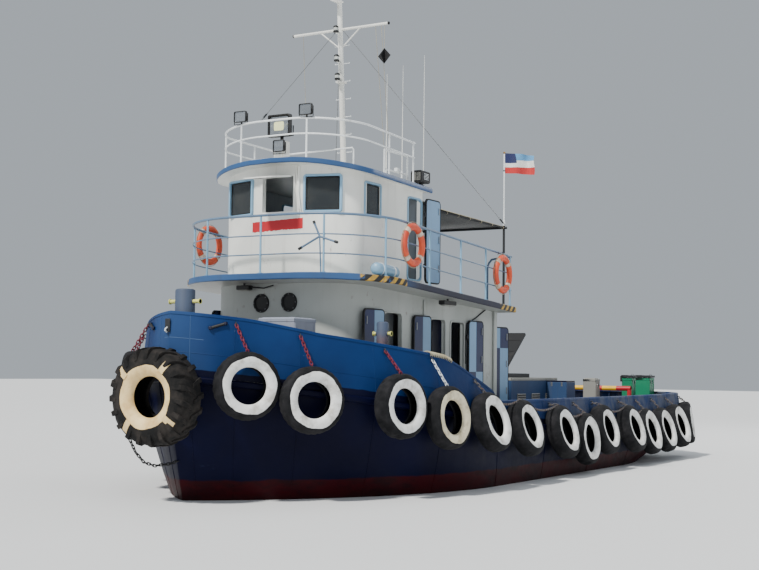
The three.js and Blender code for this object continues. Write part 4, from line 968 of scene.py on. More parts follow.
def build_walls(shape, plan, base, top, holes, outer_paint, inner_paint):
    """A house's wall ring. Columns of holes: centre x and y on the wall, width, bottom and top height"""
    outer = whole_plan(plan)
    inner = whole_plan(inset(plan, WALL_THICKNESS))
    count = len(outer)
    runs = [0.0]
    for i in range(count):
        (ax, ay), (bx, by) = outer[i], outer[(i + 1) % count]
        runs.append(runs[-1] + hypot(bx - ax, by - ay))
    spans = []
    for x, y, width, low, high in holes:
        best = None
        for i in range(count):
            a, b = Vector(outer[i]), Vector(outer[(i + 1) % count])
            way = b - a
            share = min(max((Vector((x, y)) - a).dot(way) / way.length_squared, 0), 1)
            gap = (a + way * share - Vector((x, y))).length
            if best is None or gap < best[0]:
                best = (gap, lerp(runs[i], runs[i + 1], share))
        middle = best[1]
        if middle - width / 2 < 0:
            spans.append((0.0, middle + width / 2, low, high))
            spans.append((runs[-1] + middle - width / 2, runs[-1], low, high))
        else:
            spans.append((middle - width / 2, middle + width / 2, low, high))
    marks = sorted({round(s, 5) for s in runs} | {round(s, 5) for span in spans for s in span[:2]})
    heights = sorted({z for span in spans for z in span[2:]})

    def column(s):
        s = min(max(s, 0), runs[-1])
        i = max(k for k in range(count) if runs[k] <= s + 1e-9)
        share = (s - runs[i]) / (runs[i + 1] - runs[i])
        ends = [Vector(line[i]).lerp(Vector(line[(i + 1) % count]), share) for line in (outer, inner)]
        low, high = base(*ends[0]), top(*ends[0])
        steps = [low] + [min(max(z, low), high) for z in heights] + [high]
        return [[Vector((end.x, end.y, z)) for z in steps] for end in ends]

    columns = [column(s) for s in marks]
    rows = len(heights) + 2

    def open_at(c, r):
        if not 0 <= r < rows - 1:
            return True
        s = (marks[c] + marks[c + 1]) / 2
        low = heights[r - 1] if r else -100
        high = heights[r] if r < len(heights) else 100
        middle = (low + high) / 2
        return any(span[0] < s < span[1] and span[2] < middle < span[3] for span in spans)

    def face(corners, paint, flip=False):
        shape.add(corners, [(3, 2, 1, 0) if flip else (0, 1, 2, 3)], paint)

    cells = len(marks) - 1
    for c in range(cells):
        (out_a, in_a), (out_b, in_b) = columns[c], columns[c + 1]
        for r in range(rows - 1):
            if open_at(c, r):
                continue
            up = r + 1
            face([out_a[r], out_b[r], out_b[up], out_a[up]], outer_paint)
            face([in_a[r], in_b[r], in_b[up], in_a[up]], inner_paint, True)
            if open_at(c, r - 1):
                face([out_a[r], out_b[r], in_b[r], in_a[r]], outer_paint, True)
            if open_at(c, up):
                face([out_a[up], out_b[up], in_b[up], in_a[up]], outer_paint)
            if open_at((c - 1) % cells, r):
                face([out_a[r], out_a[up], in_a[up], in_a[r]], outer_paint)
            if open_at((c + 1) % cells, r):
                face([out_b[r], out_b[up], in_b[up], in_b[r]], outer_paint, True)


def rounded(width, height, radius):
    """Corner-rounded rectangle in (across, up), centred"""
    points = []
    steps = 6
    for number, (a, b) in enumerate(((1, 1), (-1, 1), (-1, -1), (1, -1))):
        for k in range(steps + 1):
            angle = pi / 2 * (number + k / steps)
            points.append((a * (width / 2 - radius) + radius * cos(angle),
                           b * (height / 2 - radius) + radius * sin(angle)))
    return points


def frame_ring(shape, size, border, depth, radius, paint, place, soft=0.004):
    """A window or door frame round an opening: local X across, Y up, Z outward, from -depth to 0"""
    width, height = size
    outer = rounded(width + 2 * border, height + 2 * border, radius + border)
    inner = rounded(width, height, radius)
    slim = rounded(width + 2 * border - 2 * soft, height + 2 * border - 2 * soft, radius + border - soft)
    wide = rounded(width + 2 * soft, height + 2 * soft, radius + soft)
    loops = [(outer, -depth), (outer, -soft), (slim, 0), (wide, 0), (inner, -soft), (inner, -depth)]
    shape.rings(levels(loops), paint, caps=False, loop=True, place=place)


def panel(shape, size, radius, thick, paint, place):
    """A flat plate with rounded corners and softened edges, from local Z 0 to thick"""
    width, height = size
    soft = 0.003
    full = rounded(width, height, radius)
    slim = rounded(width - 2 * soft, height - 2 * soft, max(radius - soft, 0.001))
    loops = [(slim, 0), (full, soft), (full, thick - soft), (slim, thick)]
    shape.rings(levels(loops), paint, place=place)


def upright(at, heading):
    """A place whose local Z looks outward along a level heading, X lies level and Y up"""
    out = Vector((cos(heading), sin(heading), 0))
    up = Vector((0, 0, 1))
    return moved(at) @ Matrix((up.cross(out), up, out)).transposed().to_4x4()


def slab(shape, plan, top, under, paints):
    """A deck or roof plate: top, edge and under surfaces in three paints"""
    lip = 0.014
    outer = half_plan(plan)
    slim = half_plan(inset(plan, lip))

    def ring(half, height):
        return [Vector((x, y, height(x, y))) for x, y in half + mirrored(half)]
    edge = [
        ring(slim, top), ring(outer, lambda x, y: top(x, y) - lip), ring(outer, lambda x, y: under(x, y) + lip),
        ring(slim, under),
    ]
    shape.rings(edge, paints[1], caps=False)
    across = 12
    for height, paint in ((top, paints[0]), (under, paints[2])):
        rows = []
        for x, y in slim:
            rows.append([Vector((x, lerp(-y, y, k / across), height(x, lerp(-y, y, k / across))))
                         for k in range(across + 1)])
        shape.rings(rows, paint, closed=False, caps=False)


# Doors of the deckhouse and wheelhouse. Columns: name, opening's centre x, clear width, hinge way
# (1 forward, -1 aft), top height
HOUSE_DOORS = (
    ("fore", 4.29, 0.56, 1), ("middle", 2.83, 0.52, 1), ("aft", 2.15, 0.50, -1),
)
DOOR_HEIGHT = 1.45
AFT_DOOR_Y, AFT_DOOR_TOP = 1.25, 2.80
# Wheelhouse windows. Columns: x, y, width, heading in degrees, bottom, top
FRONT_WINDOWS = ((5.50, 0.0, 0.62, 0, 4.56, 5.20), (5.40, 0.83, 0.60, 18, 4.56, 5.17),
                 (5.40, -0.83, 0.60, -18, 4.56, 5.17))
# Window of each side: x, width, bottom, top; and of each half of the aft wall: y, width, bottom, top
SIDE_WINDOW = (4.665, 0.43, 4.53, 5.09)
AFT_WINDOW = (0.62, 0.56, 4.45, 4.95)
# Door of each side of the wheelhouse: x, width of the opening, top
WHEEL_DOOR = (3.24, 0.50, 5.01)


def door_top(x):
    """Top of a deckhouse doorway, which follows the boat deck"""
    return 2.79 + 0.036 * x


def wall_turn(plan):
    """Angle between a house's port side and the boat's own length"""
    front, aft, half_aft, half_fore, corner_x, _ = plan
    return atan2(half_fore - half_aft, front - corner_x - aft)


def build_houses():
    shape = Shape()
    holes = [(0.64, AFT_DOOR_Y, 0.56, 1.35, AFT_DOOR_TOP)]
    for side in BOTH:
        for _, x, width, _ in HOUSE_DOORS:
            top = door_top(x)
            holes.append((x, side * half_width(DECKHOUSE, x), width, top - DOOR_HEIGHT, top))
    build_walls(shape, DECKHOUSE, lambda x, y: deck_z(x) + 0.0003, lambda x, y: boat_under(x) - 0.0003,
                holes, "white", "inside")
    shape.piece("deckhouse_shell", angle=30, replaces=[
        "deckhouse_front", "deckhouse_aft"] + [f"deckhouse_{side}_{panel}" for side, way in SIDES
                                               for panel in ("fore", "middle", "aft")])
    shape = Shape()
    holes = [(x, y, width, low, high) for x, y, width, _, low, high in FRONT_WINDOWS]
    for side in BOTH:
        x, width, low, high = SIDE_WINDOW
        holes.append((x, side * 1.35, width, low, high))
        x, width, top = WHEEL_DOOR
        holes.append((x, side * 1.35, width, top - DOOR_HEIGHT, top))
        y, width, low, high = AFT_WINDOW
        holes.append((2.95, side * y, width, low, high))
    build_walls(shape, WHEELHOUSE, lambda x, y: boat_top(x) + 0.0003, lambda x, y: roof_under(x, y) - 0.0003,
                holes, "upper_white", "inside")
    shape.piece("wheelhouse_shell", angle=30, replaces=[
        "wheelhouse_front", "wheelhouse_port", "wheelhouse_starboard", "wheelhouse_aft"])
    shape = Shape()
    slab(shape, BOAT_DECK, boat_top, boat_under, ("boat_deck", "hazard", "white"))
    shape.piece("boat_deck_plate", replaces=["boat_deck"], angle=40)
    shape = Shape()
    slab(shape, ROOF, roof_top, roof_under, ("upper_white", "roof_edge", "upper_white"))
    shape.piece("roof_plate", replaces=["wheelhouse_roof"], angle=40)


build_houses()


def door_leaf(name, body, hinge, turn, way, width, colours):
    """A steel door on its two hinges. colours: share of the height where the checker splits, and
    whether the edge away from the hinge is light above that line. Its node has its body's name"""
    shape = Shape()
    height = DOOR_HEIGHT + 0.07
    place = moved(hinge) @ turned(turn, "Z")
    middle = way * (width / 2 + 0.026)
    split, light_above = colours
    panes = []
    cut = height * (0.5 - split)
    for i, (left, right) in enumerate(((-width / 2, 0), (0, width / 2))):
        for j, (low, high) in enumerate(((-height / 2, cut), (cut, height / 2))):
            outer_side = (i == 1) == (way == 1)
            light = (outer_side == light_above) if j == 1 else (outer_side != light_above)
            if split <= 0:
                light = light_above is None or outer_side == light_above
            panes.append((left, right, low, high, "door_light" if light else "door_dark"))
    full = rounded(width, height, 0.09)
    shape.rings([[(middle + u, w, v) for u, v in full] for w in (-0.0165, 0.0165)], "rubber", caps=False,
                place=place)
    for face in (-1, 1):
        for left, right, low, high, paint in panes:
            corner = clipped(full, left, right, low, high)
            if len(corner) > 2:
                verts = [(middle + u, face * 0.018, v) for u, v in corner]
                shape.add(verts, [tuple(range(len(verts)))], paint, place)
        rim = []
        for s, w in ((0, 0.0165), (0.002, 0.0192), (0.022, 0.0192), (0.026, 0.0178)):
            loop = rounded(width - 2 * s, height - 2 * s, max(0.09 - s, 0.02))
            rim.append([(middle + u, face * w, v) for u, v in loop])
        shape.rings(rim, "rubber", caps=False, place=place)
    for z in (-height * 0.3, height * 0.3):
        shape.post(0, 0, z - 0.035, z + 0.035, 0.0195, "dark", 16, place=place)
        shape.box((0.19, 0.016, 0.05), (way * 0.1, 0.0, z), "dark", edge=0.004, place=place)
    u = middle + way * (width / 2 - 0.075)
    for z in (-0.52, 0.0, 0.52):
        shape.pipe([(u, -0.03, z), (u, 0.03, z)], 0.012, "steel", 12, place=place)
        for face in (0.0265, -0.0265):
            shape.box((0.022, 0.01, 0.13), (u, face, z + 0.045), "steel", edge=0.003, place=place)
    shape.piece(name, body=body, replaces=[body], angle=30)


def clipped(outline, left, right, low, high):
    """An outline cut to a rectangle, by its four sides in turn"""
    points = list(outline)
    for axis, limit, keep_above in ((0, left, True), (0, right, False), (1, low, True), (1, high, False)):
        result = []
        for i, here in enumerate(points):
            ahead = points[(i + 1) % len(points)]
            inside = (here[axis] >= limit) == keep_above or here[axis] == limit
            next_inside = (ahead[axis] >= limit) == keep_above or ahead[axis] == limit
            if inside:
                result.append(here)
            if inside != next_inside:
                share = (limit - here[axis]) / (ahead[axis] - here[axis])
                result.append((lerp(here[0], ahead[0], share), lerp(here[1], ahead[1], share)))
        points = result
        if not points:
            break
    return points


def build_doors():
    coamings = Shape()
    checks = {"fore": (0.0, False), "middle": (0.0, False), "aft": (0.62, False)}
    clear = DOOR_HEIGHT - 0.03
    for side_name, side in SIDES:
        turn = wall_turn(DECKHOUSE) * side
        for name, x, width, way in HOUSE_DOORS:
            middle_z = door_top(x) - DOOR_HEIGHT / 2
            hinge_x = x + way * (width / 2 + 0.035)
            hinge_y = side * (half_width(DECKHOUSE, hinge_x) + 0.052)
            hinge = (hinge_x, hinge_y, middle_z)
            door_leaf(f"leaf_{side_name}_{name}", f"door_{side_name}_{name}", hinge, turn, way, width + 0.05,
                      checks[name])
            place = upright((x, side * (half_width(DECKHOUSE, x) + 0.018), middle_z), side * pi / 2 + turn)
            frame_ring(coamings, (width - 0.03, clear), 0.028, 0.08, 0.07, "white", place)
            for offset in (-0.456, 0.456):
                at = (hinge_x, hinge_y - side * 0.026, middle_z + offset - 0.0423)
                coamings.box((0.034, 0.064, 0.012), at, "dark", turn, 0.003)
        x, width, top = WHEEL_DOOR
        middle_z = top - DOOR_HEIGHT / 2
        door_leaf(f"leaf_{side_name}_wheelhouse", f"door_{side_name}_wheelhouse",
                  (x - 0.285, side * 1.402, middle_z), 0, -1, 0.55, (0.0, None))
        place = upright((x, side * 1.368, middle_z), side * pi / 2)
        frame_ring(coamings, (width - 0.03, clear), 0.028, 0.08, 0.06, "blue", place)
    middle_z = AFT_DOOR_TOP - DOOR_HEIGHT / 2
    hinge = (0.588, AFT_DOOR_Y + 0.315, middle_z)
    door_leaf("leaf_deckhouse_aft", "door_deckhouse_aft", hinge, radians(-8), -1, 0.61, (0.27, False))
    frame_ring(coamings, (0.53, clear), 0.028, 0.08, 0.07, "white", upright((0.622, AFT_DOOR_Y, middle_z), pi))
    coamings.piece("door_coamings", angle=30)


build_doors()


def rail_path(plan, by, aft_x, rise, height, flat=1.0):
    """Round a deck's edge from the port aft end, over the front, to the starboard aft end"""
    edge = inset(plan, by)
    half = [(x, y) for x, y in half_plan(edge, 14)[1:] if x > aft_x + 0.2 and y > 0]
    port = [(aft_x, half_width(edge, aft_x))] + list(reversed(half))
    return [Vector((x, y, height(x, y * flat) + rise)) for x, y in port + [(x, -y) for x, y in reversed(port)]]


# Posts of the boat deck's rail: x of those along each side, y of those across the front
BOAT_POSTS = (0.70, 1.75, 2.76, 3.92, 5.25)
BOAT_FRONT_POSTS = (1.18, 0.02, -1.14)


def build_boat_rail():
    shape = Shape()
    inward, aft_x, top_rise, lower_rises = 0.07, 0.64, 0.95, (0.31, 0.62)
    edge = inset(BOAT_DECK, inward)
    shape.pipe(rail_path(BOAT_DECK, inward, aft_x, top_rise, boat_top), 0.021, "rail_slate", 12)
    for rise in lower_rises:
        shape.pipe(rail_path(BOAT_DECK, inward, aft_x, rise, boat_top), 0.011, "rail_slate", 8)
    posts = [(x, side * half_width(edge, x)) for x in BOAT_POSTS for side in BOTH]
    posts += [(front_x(edge, y) - 0.006, y) for y in BOAT_FRONT_POSTS]
    for x, y in posts:
        foot = boat_top(x)
        shape.post(x, y, foot, foot + 0.94, 0.018, "blue", 12)
        shape.pipe([(x, y, foot), (x, y, foot + 0.012), (x, y, foot + 0.014)], 0.045, "blue", 16)
        shape.post(x, y, foot + 0.012, foot + 0.03, 0.024, "blue", 12)
        for rise in lower_rises:
            shape.post(x, y, foot + rise - 0.016, foot + rise + 0.016, 0.0205, "blue", 12)
    # The top rail's aft ends bend inboard and down to the deck. Columns: x, way inboard, height above the deck
    bend = ((0.64, 0, 0.95), (0.625, 0.05, 0.95), (0.62, 0.2, 0.94), (0.62, 0.42, 0.91), (0.625, 0.47, 0.85),
            (0.635, 0.495, 0.78), (0.64, 0.5, 0.73), (0.64, 0.5, 0))
    for side in BOTH:
        y = side * half_width(edge, aft_x)
        path = [(x, y - side * way, boat_top(aft_x) + rise) for x, way, rise in bend]
        shape.pipe(path, 0.021, "rail_slate", 12)
    shape.piece("boat_deck_guard_rail", replaces=["boat_deck_rail"], angle=50)


build_boat_rail()


def roof_level(x, y, rise):
    """Height of the roof rail, which is less crowned than the roof"""
    return roof_top(x, y * 0.75) + rise


def flood_lamp(shape, at, size, paint, face):
    """A lamp housing that looks forward, with a reflector face, ribs and a yoke"""
    width, height = size
    place = upright(at, 0)
    full = rounded(width, height, 0.025)
    lens = rounded(width - 0.03, height - 0.03, 0.018)
    back = [(rounded(width * 0.55, height * 0.55, 0.02), -0.10), (full, -0.045), (full, 0.0),
            (rounded(width - 0.02, height - 0.02, 0.02), 0.004),
            (rounded(width - 0.035, height - 0.035, 0.018), -0.02),
            (rounded(width * 0.6, height * 0.6, 0.016), -0.035)]
    shape.rings(levels(back), paint, place=place)
    shape.rings(levels([(lens, -0.018), (lens, -0.012)]), face, place=place)
    for k in range(7):
        u = (k / 6 - 0.5) * width * 0.8
        shape.box((0.006, height * 0.7, 0.05), (u, 0, -0.08), paint, edge=0.001, place=place)
    out, down = width / 2 + 0.012, -height / 2 - 0.03
    bar = [(-out, 0.0), (-out, down), (out, down), (out, 0.0)]
    shape.pipe([place @ Vector((u, v, -0.04)) for u, v in bar], 0.008, paint, 8)


def build_roof_rail():
    shape = Shape()
    edge = inset(ROOF, 0.13)
    shape.pipe(rail_path(ROOF, 0.13, 3.3, 0.66, roof_top, 0.75), 0.017, "rail_white", 12)
    shape.pipe(rail_path(ROOF, 0.13, 3.3, 0.40, roof_top, 0.75), 0.014, "rail_white", 8)
    posts = [(x, side * half_width(edge, x)) for x in (3.36, 4.25) for side in BOTH]
    posts.append((5.15, -half_width(edge, 5.15)))
    fronts = [(front_x(edge, y) - 0.005, y) for y in (0.62, -0.72)]
    low = [(5.42, 0.06, roof_level(5.42, 0.06, 0.1)), (5.0, 1.13, roof_level(5.0, 1.13, 0.27)),
           (4.97, 1.14, roof_level(5.0, 1.13, 0.24)), (4.97, 1.14, roof_top(4.97, 1.14))]
    shape.pipe(low, 0.015, "rail_white", 10)
    for x, y in posts + fronts:
        shape.post(x, y, roof_top(x, y), roof_level(x, y, 0.655), 0.016, "rail_white", 12)
        shape.post(x, y, roof_top(x, y), roof_top(x, y) + 0.012, 0.04, "rail_white", 14)
    for x, y in fronts:
        z = roof_level(x, y, 0.66)
        shape.post(x, y, z - 0.02, z + 0.075, 0.014, "dark", 10)
    shape.piece("roof_guard_rail", replaces=["roof_rail"], angle=50)
    lamps = Shape()
    for x, y in fronts:
        flood_lamp(lamps, (x + 0.06, y, roof_level(x, y, 0.66) + 0.135), (0.25, 0.19), "black", "reflector")
    flood_lamp(lamps, (5.5, -0.02, roof_top(5.5, 0) + 0.25), (0.22, 0.2), "black", "reflector")
    lamps.piece("roof_floodlights", angle=40)


build_roof_rail()


def build_searchlight():
    """Searchlight on the roof's front, and loudspeaker at its port aft corner"""
    shape = Shape()
    x, y = 5.33, -0.06
    foot = roof_top(x, 0) - 0.03
    shape.box((0.24, 0.22, 0.06), (x, y, foot + 0.03), "upper_white")
    shape.box((0.2, 0.2, 0.33), (x, y, foot + 0.225), "upper_white", edge=0.012)
    shape.box((0.01, 0.15, 0.22), (x + 0.103, y, foot + 0.23), "rail_white", edge=0.004)
    for side in (-1, 1):
        shape.pipe([(x + reach, y + side * 0.06, foot + 0.32) for reach in (0.108, 0.114)], 0.008, "steel", 10)
    shape.post(x, y, foot + 0.38, foot + 0.47, 0.03, "black", 16)
    yoke = ((-0.225, 0.64), (-0.225, 0.47), (0.225, 0.47), (0.225, 0.64))
    shape.pipe([(x, y + across, foot + rise) for across, rise in yoke], 0.012, "black", 10)
    place = upright((x + 0.085, y, foot + 0.64), 0)
    # Housing. Columns: width, height, corner radius, way ahead
    housing = ((0.32, 0.26, 0.03, -0.10), (0.44, 0.38, 0.03, -0.055), (0.44, 0.38, 0.03, 0.03),
               (0.42, 0.36, 0.025, 0.034), (0.38, 0.32, 0.02, 0.014))
    shape.rings(levels([(rounded(*size), ahead) for *size, ahead in housing]), "black", caps=False, place=place)
    panel(shape, (0.32, 0.26), 0.03, 0.01, "black", place @ moved((0, 0, -0.105)))
    for k in range(11):
        shape.box((0.008, 0.3, 0.05), ((k - 5) * 0.034, 0, -0.09), "black", edge=0.001, place=place)
    frame_ring(shape, (0.34, 0.28), 0.02, 0.05, 0.02, "black", place @ moved((0, 0, 0.012)), 0.004)
    panel(shape, (0.36, 0.30), 0.018, 0.008, "reflector", place @ moved((0, 0, 0.006)))
    panel(shape, (0.2, 0.15), 0.03, 0.006, "glow", place @ moved((0, -0.01, 0.012)))
    shape.piece("roof_searchlight", replaces=["searchlight"], angle=40)
    horn = Shape()
    x, y = 3.11, 1.40
    foot = roof_top(x, y) - 0.03
    horn.box((0.06, 0.06, 0.12), (x, y, foot + 0.04), "black")
    horn.box((0.33, 0.22, 0.21), (x, y, foot + 0.175), "black", edge=0.02)
    face = upright((x + 0.164, y, foot + 0.175), 0)
    frame_ring(horn, (0.20, 0.19), 0.014, 0.012, 0.03, "dark", face, 0.002)
    for k in range(7):
        horn.box((0.006, 0.17, 0.008), (x + 0.163, y, foot + 0.115 + 0.02 * k), "grey", edge=0.001)
    horn.box((0.2, 0.006, 0.13), (x, y + 0.109, foot + 0.18), "dark", edge=0.002)
    for k in range(5):
        horn.box((0.17, 0.008, 0.008), (x, y + 0.109, foot + 0.13 + 0.024 * k), "rail_white", edge=0.001)
    horn.piece("roof_loudspeaker", replaces=["loudspeaker"], angle=40)


build_searchlight()


MAST_X = 3.45
MAST_FOOT = roof_top(MAST_X, 0)
HEAD_X = 3.74
YARD_Z = 8.1


def mast_x(z):
    """The mast leans forward from its foot to its head"""
    return lerp(MAST_X, HEAD_X, (z - MAST_FOOT) / (9.5 - MAST_FOOT))


def build_mast():
    shape = Shape()
    foot = MAST_FOOT
    shape.pipe([(MAST_X, 0, foot), (HEAD_X, 0, 9.47), (3.742, 0, 9.49)], 0.052, "upper_white", 24,
               end_radius=0.033)
    shape.pipe([(MAST_X, 0, foot + z) for z in (-0.02, 0.02, 0.028)], 0.13, "upper_white", 28)
    for k in range(8):
        angle = pi / 4 * (k + 0.5)
        c, s = cos(angle), sin(angle)
        shape.post(MAST_X + 0.1 * c, 0.1 * s, foot + 0.027, foot + 0.042, 0.012, "steel", 6)
        shape.rings([[(MAST_X + ahead + reach * c, aside + reach * s, foot + rise)
                      for reach, rise in ((0.04, 0.2), (0.122, 0.028), (0.04, 0.028))]
                     for ahead, aside in ((0, 0), (0.005, 0.006))], "upper_white")
    yard_x = mast_x(YARD_Z)
    shape.pipe([(yard_x, -1.02, YARD_Z), (yard_x, 1.02, YARD_Z)], 0.024, "upper_white", 14)
    for side in BOTH:
        shape.pipe([(yard_x, side * 1.0, YARD_Z), (yard_x, side * 1.02, YARD_Z)], 0.028, "dark", 14)
        shape.pipe([(mast_x(7.75), 0, 7.75), (yard_x, side * 0.42, 8.09)], 0.013, "upper_white", 10)
    shape.box((0.15, 0.15, 0.03), (mast_x(7.15), 0, 7.15), "upper_white", edge=0.004)
    shape.box((0.26, 0.13, 0.025), (mast_x(8.6) + 0.09, 0, 8.6), "upper_white", edge=0.004)
    rung = foot + 0.5
    while rung < 8.0:
        x = mast_x(rung)
        for side in (-1, 1):
            y = side * 0.15
            shape.pipe([(x - 0.03, side * 0.04, rung), (x - 0.05, y, rung), (x - 0.05, y, rung + 0.02)], 0.008,
                       "rail_white", 8)
        rung += 0.32
    # Mast lamps: foot, lens and cap. Columns: radius, height above the bracket
    lamp = ((((0.001, 0), (0.045, 0), (0.05, 0.006), (0.05, 0.03), (0.001, 0.03)), "black"),
            (((0.001, 0.03), (0.04, 0.03), (0.044, 0.04), (0.044, 0.085), (0.04, 0.09), (0.001, 0.09)), "lens"),
            (((0.001, 0.09), (0.05, 0.09), (0.05, 0.105), (0.03, 0.125), (0.001, 0.13)), "black"))
    # Columns: height of a lamp, reach ahead of the mast
    for z, reach in ((8.62, 0.16), (8.02, 0.15), (7.5, 0.15), (7.17, 0.14)):
        x = mast_x(z) + reach
        shape.box((reach, 0.03, 0.012), (x - reach / 2, 0, z - 0.006), "upper_white", edge=0.002)
        for profile, paint in lamp:
            shape.lathe(profile, 24, paint, moved((x, 0, z)))
    top = Vector((mast_x(8.15), 0, 8.15))
    ends = [(5.59, -0.3, roof_top(5.63, 0) + 0.69)] + [(0.73, side * 1.94, 4.756) for side in BOTH]
    for end in ends:
        end = Vector(end)
        shape.pipe([top, end], 0.0065, "steel", 8)
        way = (top - end).normalized()
        shape.pipe([end + way * 0.02, end + way * 0.2], 0.011, "steel", 8)
        shape.pipe([end + way * 0.06, end + way * 0.16], 0.015, "dark", 6)
    shape.piece("mast_and_yard", replaces=["mast"], angle=45)
    rig = Shape()
    # Columns: foot x, y; top z; radius of an aerial
    for x, y, z, radius in ((3.0, 0.62, 7.35, 0.011), (3.12, 1.02, 7.45, 0.009), (2.98, 1.38, 7.62, 0.008)):
        base = roof_top(x, y)
        rig.post(x, y, base, base + 0.22, 0.02, "rail_white", 12)
        rig.post(x, y, base + 0.2, z, radius, "upper_white", 8, end_radius=radius * 0.35)
        rig.post(x, y, base, base + 0.012, 0.045, "rail_white", 16)
    # Columns: halyard's y on the yard, y of its foot at the roof rail
    for y, low_y in ((0.86, 0.9), (0.74, 0.8), (-0.8, -0.86)):
        rig.pipe([(yard_x, y, 8.08), (3.34, low_y, roof_top(3.34, low_y) + 0.3)], 0.0035, "rope", 6)
    # Day shape of two crossed plates, hung from the yard
    x, y, z = yard_x, 0.93, 7.52
    rig.post(x, y, 8.08, z + 0.14, 0.003, "rope", 6)
    for turn in (0, pi / 2):
        outline = [(0.13, 0), (0, 0.14), (-0.13, 0), (0, -0.14)]
        place = moved((x, y, z)) @ turned(turn, "Z")
        rig.rings([[(u, w, v) for u, v in outline] for w in (-0.003, 0.003)], "black", place=place)
    rig.piece("mast_rigging", angle=45)


build_mast()


# Awning frame: x and half width of its aft pipe, and that pipe's height
AWNING_X, AWNING_HALF = 0.7, 1.9
AFT_PIPE_Z = 4.71
PIPE_SLOPE = 0.29 / 2.27


def pipe_z(x):
    """Height of the awning's side pipes"""
    return AFT_PIPE_Z + PIPE_SLOPE * (x - AWNING_X)


def build_awning():
    shape = Shape()
    shape.pipe([(AWNING_X, y, AFT_PIPE_Z) for y in (-1.96, 1.96)], 0.0235, "dark", 14)
    foot = boat_top(AWNING_X)
    for side in BOTH:
        y = side * AWNING_HALF
        shape.post(AWNING_X, y, foot, 4.75, 0.0235, "dark", 14)
        shape.post(AWNING_X, y, foot, foot + 0.012, 0.06, "dark", 20)
        shape.pipe([(x, side * y, pipe_z(x)) for x, y in ((AWNING_X, AWNING_HALF), (2.25, 1.28), (2.94, 1.26))],
                   0.0195, "dark", 12)
    shape.piece("awning_pipes", replaces=["awning_frame"], angle=50)
    cloth = Shape()
    columns, rows = 48, 44

    def half(x):
        return lerp(AWNING_HALF, 1.32, (x - 0.63) / 1.62) if x < 2.25 else lerp(1.32, 1.29, (x - 2.25) / 0.68)

    def rest(x, v):
        """Height of the tarp's middle: it lies on the pipes and sags in the bay between them"""
        along = (x - AWNING_X) / 2.2
        bay = max(0.0, sin(pi * min(max(along, 0), 1)))
        across = max(0.0, 1 - v ** 2)
        fold = 0.010 * sin(7.5 * v + 5.0 * x) + 0.006 * sin(17 * v - 4 * x)
        return pipe_z(x) + 0.030 - 0.16 * bay * across + fold * bay * (1 - v ** 6)

    def point(i, k, lift):
        x, v = 0.63 + 2.3 * i / rows, 2 * k / columns - 1
        return Vector((x, half(x) * v, rest(x, v) + lift))
    low, high = ([[point(i, k, lift) for k in range(columns + 1)] for i in range(rows + 1)]
                 for lift in (0.0, 0.0024))
    loops = [a + list(reversed(b)) for a, b in zip(low, high)]
    cloth.rings(loops, "tarp")
    tarp = cloth.piece("awning_sheet", replaces=["awning_cloth"], angle=80, sheet=True)
    hems = Shape()
    for side in (-1, 1):
        column = 0 if side < 0 else columns
        path = [low[i][column] + Vector((0, 0, -0.004)) for i in range(0, rows + 1, 2)]
        hems.pipe(path, 0.007, "rope", 8)
        for i in range(2, rows - 1, 5):
            x = low[i][column].x
            y = side * (lerp(AWNING_HALF, 1.28, (x - AWNING_X) / 1.55) if x < 2.25 else 1.27)
            at = Vector((x, y, pipe_z(x)))
            loop = [at + Vector((0, 0.026 * cos(a), 0.026 * sin(a))) for a in circle(10)]
            hems.pipe(loop, 0.004, "rope", 6, closed=True)
    lacing = hems.piece("awning_lacing", angle=60)


build_awning()


def build_flag():
    pole = Shape()
    x, y, foot, head = AWNING_X, AWNING_HALF, 4.7505, 6.16
    pole.post(x, y, foot, head, 0.014, "rail_white", 12)
    pole.lathe([(0.001, -0.02), (0.018, -0.018), (0.022, 0.0), (0.018, 0.016), (0.001, 0.02)], 16, "bronze",
               moved((x, y, head)))
    pole.post(x, y, foot, 4.85, 0.022, "rail_white", 12)
    flag_top = 6.15
    for z in (5.81, flag_top):
        pole.post(x, y, z - 0.01, z + 0.01, 0.018, "dark", 12)
    pole.piece("ensign_staff", replaces=["flagpole"], angle=50)
    cloth = Shape()
    columns, rows = 44, 26
    faces = []
    way = Vector((cos(radians(120)), sin(radians(120)), 0))
    cross = Vector((-way.y, way.x, 0))
    for side in (-0.0012, 0.0012):
        grid = []
        for i in range(rows + 1):
            line = []
            for k in range(columns + 1):
                u, v = k / columns, i / rows
                sway = 0.04 * u ** 0.7 * sin(9.5 * u + 1.4 * v) + 0.014 * u * sin(19 * u - 3 * v)
                droop = 0.045 * u * u
                reach = 0.016 + 0.555 * u - 0.01 * sin(6 * v) * u
                line.append(Vector((x, y, flag_top - 0.388 * v - droop * (1 - v * 0.4))) + way * reach
                            + cross * (sway + side))
            grid.append(line)
        faces.append(grid)
    loops = [a + list(reversed(b)) for a, b in zip(*faces)]
    cloth.rings(loops, "flag")
    flag = cloth.piece("ensign", replaces=["flag"], angle=80, sheet=True)


build_flag()

# Columns: name, x, then for each side the height above the deck and the radius of the rail it lies against
LIFEBUOYS = (("fore", 4.63, {PORT: (0.59, 0.018), STARBOARD: (0.74, 0.021)}),
             ("aft", 1.16, {PORT: (0.55, 0.012), STARBOARD: (0.55, 0.012)}))


